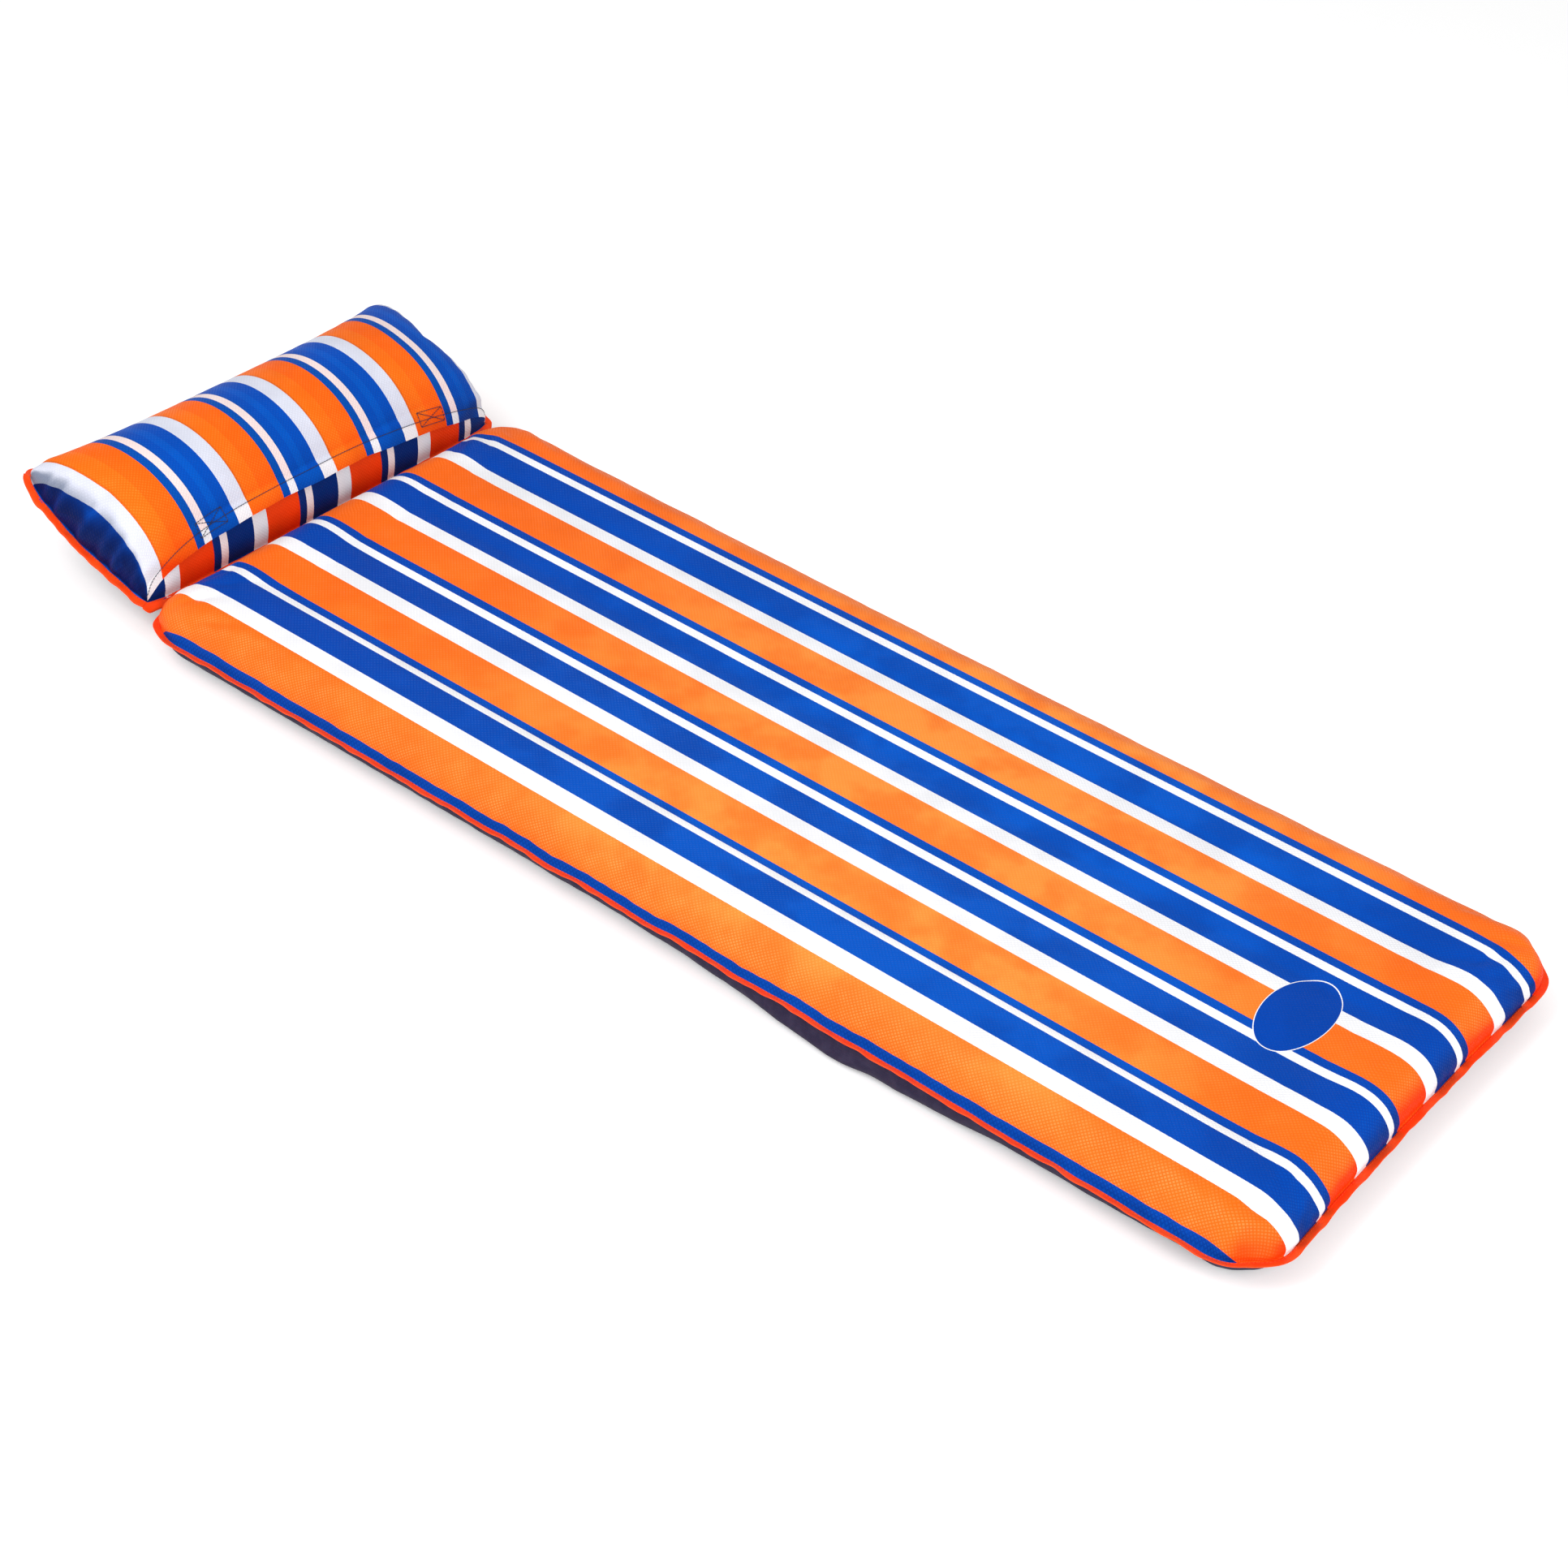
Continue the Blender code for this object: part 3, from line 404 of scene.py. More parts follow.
def raise_surface(desk: NodeDesk, shader: bpy.types.Node, height: object, depth: float) -> None:
    """Feed a height through a Bump node to a shader.

    Args:
        desk: the material's desk.
        shader: the Principled shader.
        height: the height, from 0 to 1.
        depth: what a height of 1 stands for, in metres.
    """
    bump = desk.add("ShaderNodeBump")
    bump.inputs["Distance"].default_value = depth
    desk.feed(bump.inputs["Height"], height)
    desk.feed(shader.inputs["Normal"], bump.outputs[0])


@dataclass(frozen=True)
class PrintedCloth:
    """Satin polyester with raised diamonds and printed stripes."""

    name: str
    start: float
    direction: float = 1.0
    inks: Inks = field(default_factory=Inks)
    layer_shift: float = 0.0
    layer_share: float = 0.0
    # whether the print gets the painted sheen along the bed
    painted_sheen: bool = False
    badge: Badge | None = None
    weave_pitch: float = 0.0052
    weave_depth: float = 0.0003
    dot_sheen_share: float = 0.32

    def painted_sheen_share(self, desk: NodeDesk, across: object, along: object, mottle: object) -> object:
        """Return the share of the painted sheen, a lighter ink that stands for the satin's reflection, most
        in the middle of the bed.

        Args:
            desk: the material's desk.
            across: the place across the cloth.
            along: the place along the cloth.
            mottle: the cloth's slow mottling.

        Returns:
            The share of the painted sheen ink.
        """
        if not self.painted_sheen:
            return 0.0
        from_foot = desk.spread(along, -0.80, -0.38)
        to_head = desk.spread(along, -0.10, 0.75, 1.0, 0.0)
        sideways = desk.spread(desk.math("ABSOLUTE", across), 0.27, 0.32, 1.0, 0.20)
        painted_sheen = desk.math("MULTIPLY", desk.math("MULTIPLY", from_foot, to_head), sideways)
        return desk.math("MULTIPLY", painted_sheen, desk.spread(mottle, 0.0, 1.0, 0.50, 1.15))

    def printed(self, desk: NodeDesk, effects: EffectGroups, place: object, shift: float, fade: object,
                dots: object) -> object:
        """Return the stripes' colour, with painted shade where the cloth is steep and painted highlights on
        the raised dots.

        Args:
            desk: the material's desk.
            effects: the shared groups.
            place: the place on the cloth.
            shift: how far the print is moved, in repeats.
            fade: the share of the painted sheen ink.
            dots: the share of the painted highlight on the weave's dots.

        Returns:
            The colour.
        """
        steep_shade = desk.stored(STEEP_SHADE)
        warm = desk.mix(dots, desk.mix(fade, self.inks.warm, self.inks.warm_sheen), self.inks.warm_dot_sheen)
        cool = desk.mix(dots, desk.mix(fade, self.inks.cool, self.inks.cool_sheen), self.inks.cool_dot_sheen)
        # painted shade: deeper inks where the cloth is steep
        warm = desk.mix(steep_shade, warm, self.inks.warm_shade)
        cool = desk.mix(steep_shade, cool, self.inks.cool_shade)
        return effects.place(desk, Effect.STRIPES, Place=place, Start=self.start + shift,
                             Direction=self.direction, Warm=warm, Pale=self.inks.pale, Cool=cool)["Colour"]

    def with_badge(self, desk: NodeDesk, place: object, colour: object) -> object:
        """Return the colour with the bare oval printed over it.

        Args:
            desk: the material's desk.
            place: the place on the cloth.
            colour: the stripes' colour.

        Returns:
            The colour.
        """
        parts = []
        halves = self.badge.half_width, self.badge.half_height
        for way, middle, half in zip(desk.split(place), self.badge.centre, halves):
            away = desk.math("SUBTRACT", way, middle)
            parts.append(desk.math("POWER", desk.math("DIVIDE", away, half), 2.0))
        reach = desk.math("SQRT", desk.math("ADD", *parts))
        colour = desk.mix(desk.math("LESS_THAN", reach, 1.0), colour, self.inks.pale)
        inside = desk.math("LESS_THAN", reach, 1.0 - self.badge.outline)
        return desk.mix(inside, colour, self.inks.cool)

    def make(self, effects: EffectGroups) -> bpy.types.Material:
        """Build the material.

        Args:
            effects: the shared groups.

        Returns:
            The material.
        """
        material, desk, shader = start_material(self.name)
        place = desk.cloth_place()
        marks = effects.place(desk, Effect.MARKS, Place=place, Grain=320.0)
        weave = effects.place(desk, Effect.WEAVE, Place=place, Pitch=self.weave_pitch)
        # painted sheen: a lighter ink along the middle of the bed
        fade = self.painted_sheen_share(desk, *desk.split(place), marks["Mottle"])
        # painted sheen on the weave's diamonds, stronger off level cloth
        dots = desk.math("MULTIPLY", weave["Lustre"], desk.stored(DOT_SHEEN))
        dots = desk.math("MULTIPLY", dots, self.dot_sheen_share)
        colour = self.printed(desk, effects, place, 0.0, fade, dots)
        if self.layer_share > 0:
            beneath = self.printed(desk, effects, place, self.layer_shift, fade, dots)
            above = desk.math("GREATER_THAN", desk.stored(ABOVE_HEM), 0.0)
            colour = desk.mix(desk.math("MULTIPLY", above, self.layer_share), colour, beneath, "MULTIPLY")
        if self.badge is not None:
            colour = self.with_badge(desk, place, colour)
        colour = desk.mix(desk.stored(SHADED), colour, (0.30, 0.34, 0.42, 1.0), "MULTIPLY")
        # darker at random with the mottle, and lighter on the diamonds as a painted sheen
        mottle_and_sheen = desk.spread(marks["Mottle"], 0.0, 1.0, 0.92)
        mottle_and_sheen = desk.math("MULTIPLY", mottle_and_sheen, desk.spread(weave["Lustre"], 0.0, 1.0, 0.95, 1.02))
        colour = desk.mix(1.0, colour, desk.grey(mottle_and_sheen), "MULTIPLY")
        colour = desk.mix(desk.math("MULTIPLY", marks["Dust"], 0.005), colour, (0.75, 0.72, 0.68, 1.0))
        desk.feed(shader.inputs["Base Color"], colour)
        desk.feed(shader.inputs["Roughness"], desk.spread(weave["Lustre"], 0.0, 1.0, 0.52, 0.36))
        shader.inputs["Specular IOR Level"].default_value = 0.05
        height = desk.math("MULTIPLY_ADD", marks["Crease"], 2.2, weave["Height"])
        raise_surface(desk, shader, height, self.weave_depth)
        return material


@dataclass(frozen=True)
class RibbedCloth:
    """Plain woven cloth or tape in one colour, with ribs."""

    name: str
    colour: tuple
    worn: tuple
    pitch: float
    depth: float
    roughness: float
    sheen: float = 0.02

    def make(self, effects: EffectGroups) -> bpy.types.Material:
        """Build the material.

        Args:
            effects: the shared groups.

        Returns:
            The material.
        """
        material, desk, shader = start_material(self.name)
        place = desk.cloth_place()
        ribs = effects.place(desk, Effect.TAPE, Place=place, Pitch=self.pitch)
        marks = effects.place(desk, Effect.MARKS, Place=place, Grain=380.0)
        colour = desk.mix(desk.math("MULTIPLY", ribs["Mask"], 0.45), self.colour, self.worn)
        # painted shade: the colour darkens in the grooves between the ribs
        groove = desk.spread(ribs["Height"], 0.0, 0.45, 0.75, 1.0)
        colour = desk.mix(0.5, colour, desk.grey(groove), "MULTIPLY")
        colour = desk.mix(desk.math("MULTIPLY", marks["Dust"], 0.02), colour, (0.7, 0.68, 0.65, 1.0))
        desk.feed(shader.inputs["Base Color"], colour)
        desk.feed(shader.inputs["Roughness"], desk.spread(marks["Mottle"], 0.0, 1.0, self.roughness,
                                                          self.roughness + 0.12))
        shader.inputs["Specular IOR Level"].default_value = 0.12
        shader.inputs["Sheen Weight"].default_value = self.sheen
        height = desk.math("MULTIPLY_ADD", marks["Crease"], 0.5, ribs["Height"])
        raise_surface(desk, shader, height, self.depth)
        return material


@dataclass(frozen=True)
class SoftVinyl:
    """Soft moulded vinyl or welded film, with a faint haze."""

    name: str
    colour: tuple
    haze: tuple
    roughness: float
    grain: float
    depth: float
    subsurface: float = 0.0

    def make(self, effects: EffectGroups) -> bpy.types.Material:
        """Build the material.

        Args:
            effects: the shared groups.

        Returns:
            The material.
        """
        material, desk, shader = start_material(self.name)
        place = desk.piece_place()
        marks = effects.place(desk, Effect.MARKS, Place=place, Grain=self.grain)
        colour = desk.mix(desk.math("MULTIPLY", marks["Mottle"], 0.6), self.colour, self.haze)
        desk.feed(shader.inputs["Base Color"], colour)
        desk.feed(shader.inputs["Roughness"], desk.spread(marks["Dust"], 0.0, 1.0, self.roughness,
                                                          self.roughness + 0.2))
        shader.inputs["Subsurface Weight"].default_value = self.subsurface
        shader.inputs["Subsurface Scale"].default_value = 0.002
        raise_surface(desk, shader, desk.math("ADD", marks["Crease"], marks["Mottle"]), self.depth)
        return material


@dataclass(frozen=True)
class Fastener:
    """The nap of hook and loop tape."""

    name: str
    colour: tuple
    tips: tuple
    pile: float

    def make(self, effects: EffectGroups) -> bpy.types.Material:
        """Build the material.

        Args:
            effects: the shared groups.

        Returns:
            The material.
        """
        material, desk, shader = start_material(self.name)
        place = desk.piece_place()
        marks = effects.place(desk, Effect.MARKS, Place=place, Grain=1400.0)
        pile = desk.noise(place, 1800.0, 2.0, 0.7)
        colour = desk.mix(desk.spread(pile, 0.45, 0.7), self.colour, self.tips)
        colour = desk.mix(desk.math("MULTIPLY", marks["Dust"], 0.25), colour, (0.5, 0.5, 0.5, 1.0))
        desk.feed(shader.inputs["Base Color"], colour)
        desk.feed(shader.inputs["Roughness"], desk.spread(pile, 0.3, 0.7, 0.95, 0.75))
        shader.inputs["Sheen Weight"].default_value = 0.5
        raise_surface(desk, shader, pile, self.pile)
        return material


@dataclass(frozen=True)
class Thread:
    """Twisted sewing thread."""

    name: str
    colour: tuple
    light: tuple

    def make(self, effects: EffectGroups) -> bpy.types.Material:
        """Build the material.

        Args:
            effects: the shared groups.

        Returns:
            The material.
        """
        material, desk, shader = start_material(self.name)
        place = desk.piece_place()
        twist = effects.place(desk, Effect.TAPE, Place=place, Pitch=0.0006)
        colour = desk.mix(desk.math("MULTIPLY", twist["Mask"], 0.5), self.colour, self.light)
        desk.feed(shader.inputs["Base Color"], colour)
        desk.feed(shader.inputs["Roughness"], desk.spread(twist["Mask"], 0.0, 1.0, 0.45, 0.6))
        raise_surface(desk, shader, twist["Height"], 0.0001)
        return material


@dataclass
class Finishes:
    """Every finish of the float, made once."""

    effects: EffectGroups = field(default_factory=EffectGroups)
    made: dict = field(default_factory=dict)

    def dress(self, piece: bpy.types.Object, finish: object) -> bpy.types.Object:
        """Give a piece a finish in all its slots.

        Args:
            piece: the piece.
            finish: one of the finish classes.

        Returns:
            The piece.
        """
        if finish.name not in self.made:
            self.made[finish.name] = finish.make(self.effects)
        slots = piece.data.materials
        for index in range(len(slots)):
            slots[index] = self.made[finish.name]
        if not slots:
            slots.append(self.made[finish.name])
        return piece


MATTRESS_START = 0.742
PILLOW_START = -1.521
LAYER_SHIFT = 0.18
MATTRESS_PRINT = PrintedCloth("printed_cover", MATTRESS_START, badge=Badge(), painted_sheen=True)
PILLOW_INKS = Inks(warm=(1.0, 0.155, 0.004, 1.0), warm_dot_sheen=(1.0, 0.340, 0.050, 1.0),
                   cool=(0.000, 0.090, 0.530, 1.0))
SHADED_INKS = Inks(warm=(1.0, 0.080, 0.010, 1.0), warm_shade=(1.0, 0.050, 0.004, 1.0),
                   warm_dot_sheen=(1.0, 0.140, 0.020, 1.0), cool=(0.002, 0.034, 0.240, 1.0),
                   cool_shade=(0.001, 0.024, 0.180, 1.0), cool_dot_sheen=(0.004, 0.055, 0.300, 1.0))
PILLOW_PRINT = PrintedCloth("printed_pillow_cover", PILLOW_START, direction=-1.0, inks=PILLOW_INKS,
                            layer_shift=LAYER_SHIFT, layer_share=0.22)
INNER_PRINT = PrintedCloth("printed_inner_cover", PILLOW_START + LAYER_SHIFT, direction=-1.0,
                           inks=SHADED_INKS)
PLAIN_BACK = RibbedCloth("plain_backing", (0.022, 0.016, 0.045, 1.0), (0.045, 0.035, 0.075, 1.0),
                         0.0021, 0.00012, 0.6)
BINDING_TAPE = RibbedCloth("binding_tape", (1.0, 0.058, 0.003, 1.0), (1.0, 0.11, 0.012, 1.0),
                           0.0016, 0.00016, 0.42)
AIR_FILM = SoftVinyl("air_film", (0.50, 0.60, 0.68, 1.0), (0.66, 0.74, 0.80, 1.0), 0.22, 240.0, 0.0004)
VALVE_VINYL = SoftVinyl("soft_valve", (0.80, 0.82, 0.84, 1.0), (0.88, 0.89, 0.90, 1.0), 0.3, 900.0,
                        0.00006, 0.25)
FASTENER = Fastener("hook_and_loop", (0.012, 0.012, 0.020, 1.0), (0.05, 0.05, 0.07, 1.0), 0.0005)
DARK_THREAD = Thread("dark_thread", (0.008, 0.010, 0.035, 1.0), (0.03, 0.035, 0.09, 1.0))
WARM_THREAD = Thread("warm_thread", (0.95, 0.07, 0.006, 1.0), (1.0, 0.16, 0.03, 1.0))


# Mesh work


def unit(vectors: np.ndarray) -> np.ndarray:
    """Return vectors at length one."""
    length = np.linalg.norm(vectors, axis=-1, keepdims=True)
    return vectors / np.maximum(length, 1e-12)


def running(steps: np.ndarray, axis: int = 0) -> np.ndarray:
    """Return the running total of steps along an axis, from 0."""
    return np.insert(np.cumsum(steps, axis=axis), 0, 0.0, axis=axis)


def new_piece(name: str, points: np.ndarray, faces: np.ndarray,
              corners: np.ndarray | None) -> bpy.types.Object:
    """Make a smooth mesh piece.

    Args:
        name: the piece's name.
        points: its points, one to a row.
        faces: its faces, as rows of point numbers.
        corners: the place on the cloth of each face corner, or none.

    Returns:
        The new object.
    """
    mesh = bpy.data.meshes.new(name)
    mesh.from_pydata(points.tolist(), [], faces.tolist())
    if corners is not None:
        layer = mesh.uv_layers.new(name=CLOTH_MAP)
        layer.data.foreach_set("uv", corners.astype(np.float32).ravel())
    mesh.polygons.foreach_set("use_smooth", [True] * len(mesh.polygons))
    mesh.update()
    piece = bpy.data.objects.new(name, mesh)
    bpy.context.scene.collection.objects.link(piece)
    return piece


def net_faces(rows: int, columns: int, wrap: bool = False) -> np.ndarray:
    """Return the faces of a net of points.

    Args:
        rows: how many rows of points it has.
        columns: how many points a row has.
        wrap: whether each row closes on itself.

    Returns:
        The faces, as rows of four point numbers.
    """
    across = columns if wrap else columns - 1
    row, column = np.meshgrid(np.arange(rows - 1), np.arange(across), indexing="ij")
    beside = (column + 1) % columns
    first = row * columns + column
    return np.stack([first, row * columns + beside, (row + 1) * columns + beside, first + columns],
                    axis=-1).reshape(-1, 4)


def net_normals(net: np.ndarray) -> np.ndarray:
    """Return the normals of a net of points, along rows first."""
    over = np.gradient(net, axis=1)
    up = np.gradient(net, axis=0)
    return unit(np.cross(over, up))


def solid(piece: bpy.types.Object, thickness: float, offset: float = -1.0) -> None:
    """Give a sheet its thickness, kept as a modifier."""
    wall = piece.modifiers.new("thickness", "SOLIDIFY")
    wall.thickness = thickness
    wall.offset = offset


def split_rim(piece: bpy.types.Object) -> None:
    """Keep a sheet's cut edge from shading its face, kept as a modifier."""
    step = piece.modifiers.new("rim", "EDGE_SPLIT")
    step.split_angle = math.radians(60)
    step.use_edge_sharp = False


def finer(piece: bpy.types.Object, levels: int = 1) -> None:
    """Subdivide a piece once or more, kept as a modifier."""
    step = piece.modifiers.new("finer", "SUBSURF")
    step.levels = levels
    step.render_levels = levels


def eased(share: np.ndarray) -> np.ndarray:
    """Return shares held between 0 and 1 with soft ends."""
    share = np.clip(share, 0, 1)
    return share * share * (3 - 2 * share)


def store(piece: bpy.types.Object, name: str, values: np.ndarray) -> None:
    """Store a number at each point of a piece."""
    layer = piece.data.attributes.new(name, "FLOAT", "POINT")
    layer.data.foreach_set("value", np.asarray(values).astype(np.float32))


def mark_cloth(piece: bpy.types.Object, flat: float, steep_shade: float, sideways: float, end_shade: float,
               level_dot_sheen: float) -> None:
    """Store the painted shade and painted sheen masks, which follow how the cloth stands.

    Args:
        piece: the piece.
        flat: the upward share of a normal at which the cloth has no painted shade.
        steep_shade: the share at which the painted shade is full.
        sideways: how much of the painted shade the walls along the float's sides get.
        end_shade: how dark the end that looks to the left is.
        level_dot_sheen: how much painted sheen the weave's diamonds get on level cloth.
    """
    mesh = piece.data
    normals = np.zeros(len(mesh.vertices) * 3, np.float32)
    mesh.vertices.foreach_get("normal", normals)
    over, ahead, up = normals.reshape(-1, 3).T
    lengthwise = np.clip(1.2 * np.abs(ahead) / np.maximum(np.hypot(over, ahead), 1e-6) - 0.2, 0, 1)
    # painted shade on steep cloth, most on the walls at the ends
    store(piece, STEEP_SHADE, eased((flat - up) / (flat - steep_shade)) * (sideways + (1 - sideways) * lengthwise))
    store(piece, SHADED, end_shade * eased((-over - 0.74) / 0.22))
    # painted sheen on the diamonds, stronger where the cloth leaves the level
    store(piece, DOT_SHEEN, level_dot_sheen + (1 - level_dot_sheen) * eased((0.99 - up) / 0.15))


def wander(places: np.ndarray, waves: list[tuple], seed: int) -> np.ndarray:
    """Return a smooth uneven wave along a line.

    Args:
        places: distances along the line.
        waves: pairs of a wavelength and a height.
        seed: which wave of its kind.

    Returns:
        The wave's height at each place.
    """
    chance = np.random.default_rng(seed)
    total = np.zeros_like(places)
    for wavelength, height in waves:
        phase, drift = chance.uniform(0, 2 * math.pi, 2)
        bend = 0.7 * np.sin(2 * math.pi * places / (wavelength * 3.7) + drift)
        total += height * np.sin(2 * math.pi * places / wavelength + phase + bend)
    return total


@dataclass(frozen=True)
class AirPressure:
    """How a cover is blown up in the cloth simulation."""

    pressure: float = 4.0
    frames: int = 16
    reach: float = 0.007
    stiffness: float = 12.0
    bending: float = 0.4

    def blow(self, piece: bpy.types.Object, held: np.ndarray, cut: np.ndarray | None) -> np.ndarray:
        """Inflate a piece between its held points.

        Args:
            piece: the piece, in its shape before.
            held: how firmly each point is held, from 0 to 1.
            cut: where each point lies in the flat cut cloth, or none.

        Returns:
            How far each point moves, capped.
        """
        mesh = piece.data
        count = len(mesh.vertices)
        before = np.zeros(count * 3, np.float32)
        mesh.vertices.foreach_get("co", before)
        group = piece.vertex_groups.new(name="held")
        for share in np.unique(held[held > 0]):
            group.add(np.nonzero(held == share)[0].tolist(), float(share), "REPLACE")
        cloth = piece.modifiers.new("blow", "CLOTH")
        settings = cloth.settings
        settings.quality = 6
        settings.mass = 0.3
        settings.tension_stiffness = self.stiffness
        settings.compression_stiffness = self.stiffness
        settings.shear_stiffness = self.stiffness / 3
        settings.bending_stiffness = self.bending
        settings.air_damping = 2.0
        settings.vertex_group_mass = "held"
        settings.use_pressure = True
        settings.uniform_pressure_force = self.pressure
        settings.effector_weights.gravity = 0.0
        cloth.collision_settings.use_collision = False
        if cut is not None:
            piece.shape_key_add(name="made")
            key = piece.shape_key_add(name="cut")
            key.data.foreach_set("co", cut.astype(np.float32).ravel())
            key.value = 0.0
            settings.rest_shape_key = key
        cloth.point_cache.frame_start = 1
        cloth.point_cache.frame_end = self.frames
        scene = bpy.context.scene
        for step in range(1, self.frames + 1):
            scene.frame_set(step)
        evaluated = piece.evaluated_get(bpy.context.evaluated_depsgraph_get())
        after = np.zeros(count * 3, np.float32)
        evaluated.data.vertices.foreach_get("co", after)
        piece.modifiers.remove(cloth)
        if cut is not None:
            piece.shape_key_clear()
        piece.vertex_groups.clear()
        scene.frame_set(1)
        moved = (after - before).reshape(-1, 3).astype(float)
        length = np.linalg.norm(moved, axis=1, keepdims=True)
        return moved * (self.reach * np.tanh(length / self.reach) / np.maximum(length, 1e-9))


# The mattress


@dataclass
class MattressForm:
    """The mattress's outline and section, round the middle of its seam plane."""

    length: float = 1.626
    width: float = 0.657
    edge_reach: float = 0.049
    rise: float = 0.042
    crown_corner: float = 0.014
    side_draw_in: float = 0.004
    foot_draw_in: float = 0.005
    channels: int = 5
    channel_depth: float = 0.0025
    channel_run_out: float = 0.080
    fullness: float = 2.6
    side_bulge: float = 0.003
    foot_bulge: float = 0.007
    head_bulge: float = 0.011
    slack_bulge: float = 0.009
    corner_tuck: float = 0.006
    tuck_reach: float = 0.11
    slack_fullness: float = 1.8
    slack_place: float = -0.28
    slack_reach: float = 0.15
    corner_reach: float = 0.018
    foot_tuck: float = 0.005
    head_push: float = 0.005
    allowance: float = 0.004
    centre: tuple = (0.0, -0.127185, 0.042)
    cells_across: int = 84
    cells_along: int = 230
    cells_corner: int = 12
    wall_cells: int = 13

    def __post_init__(self) -> None:
        """Work out the sizes that follow from the others."""
        self.seam_corner = self.crown_corner + self.edge_reach
        self.half_across = self.width / 2 - self.seam_corner
        self.half_along = self.length / 2 - self.seam_corner
        self.channel_width = self.width / self.channels
        angles = np.linspace(0, math.pi / 2, 400)
        steps = np.hypot(np.diff(self.edge_reach * np.sin(angles)), np.diff(self.rise * np.cos(angles)))
        arc = running(steps)
        self.wall_arc = float(arc[-1])
        self.ring_arcs = np.linspace(0, self.wall_arc, self.wall_cells + 1)
        self.ring_angles = np.interp(self.ring_arcs, arc, angles)
        full_out = self.edge_reach * np.sin(angles) ** (2 / self.fullness)
        full_up = self.rise * np.cos(angles) ** (2 / self.fullness)
        full_arc = running(np.hypot(np.diff(full_out), np.diff(full_up)))
        self.cut_arcs = np.interp(self.ring_angles, angles, full_arc)

    def ring(self, inside: float) -> np.ndarray:
        """Return an outline inside or outside the seam, counter-clockwise from the foot's left corner.

        Args:
            inside: how far inside the seam it runs.

        Returns:
            Its points.
        """
        radius = self.seam_corner - inside
        across = np.linspace(-self.half_across, self.half_across, self.cells_across + 1)
        along = np.linspace(-self.half_along, self.half_along, self.cells_along + 1)
        head = np.stack([-across, np.full_like(across, self.length / 2 - inside)], axis=1)
        drawn = self.foot_draw_in * (1 - (across / self.half_across) ** 2)
        foot = np.stack([across, drawn - (self.length / 2 - inside)], axis=1)
        side = self.width / 2 - self.side_draw_in * (1 - (along / self.half_along) ** 2) - inside
        right = np.stack([side, along], axis=1)
        turn = np.linspace(0, math.pi / 2, self.cells_corner + 1)[1:-1]
        loop = []
        for quarter, (edge, corner) in enumerate(((foot, (1, -1)), (right, (1, 1)), (head, (-1, 1)),
                                                  (-right, (-1, -1)))):
            angle = turn + (quarter - 1) * math.pi / 2
            arc = np.stack([corner[0] * self.half_across + radius * np.cos(angle),
                            corner[1] * self.half_along + radius * np.sin(angle)], axis=1)
            loop += [edge, arc]
        return np.roll(np.concatenate(loop), self.cells_corner // 2, axis=0)

    def groove(self, across: np.ndarray, along: np.ndarray) -> np.ndarray:
        """Return how deep the crown sinks over the webs, fading towards the ends."""
        wave = 0.5 + 0.5 * np.cos(2 * math.pi * (across + self.width / 2) / self.channel_width)
        to_end = self.length / 2 - self.edge_reach - np.abs(along)
        fade = np.clip(to_end / self.channel_run_out, 0, 1)
        inner = np.abs(across) <= (self.width - self.channel_width) / 2
        return self.channel_depth * wave * fade * inner

    def crown(self, border: np.ndarray) -> np.ndarray:
        """Return a net that fills the crown's outline.

        Args:
            border: the crown's outline.

        Returns:
            The net's points, rows from foot to head.
        """
        across, along = self.crown_cells()
        foot = border[:across + 1]
        right = border[across:across + along + 1]
        head = border[across + along:2 * across + along + 1][::-1]
        left = np.concatenate([border[2 * across + along:], border[:1]])[::-1]
        up = ((right[:, 1] - right[0, 1]) / (right[-1, 1] - right[0, 1]))[:, None, None]
        over = ((foot[:, 0] - foot[0, 0]) / (foot[-1, 0] - foot[0, 0]))[None, :, None]
        ends = foot[None] * (1 - up) + head[None] * up
        sides = left[:, None] * (1 - over) + right[:, None] * over
        foot_chord = foot[0] * (1 - over) + foot[-1] * over
        head_chord = head[0] * (1 - over) + head[-1] * over
        return ends + sides - foot_chord * (1 - up) - head_chord * up

    def crown_cells(self) -> tuple[int, int]:
        """Return how many cells the crown has across and along."""
        return self.cells_across + self.cells_corner, self.cells_along + self.cells_corner

    def border_numbers(self) -> np.ndarray:
        """Return the crown net's border points in the outline's order."""
        across, along = self.crown_cells()
        wide = across + 1
        foot = np.arange(across)
        right = np.arange(along) * wide + across
        head = along * wide + across - np.arange(across)
        left = (along - np.arange(along)) * wide
        return np.concatenate([foot, right, head, left])

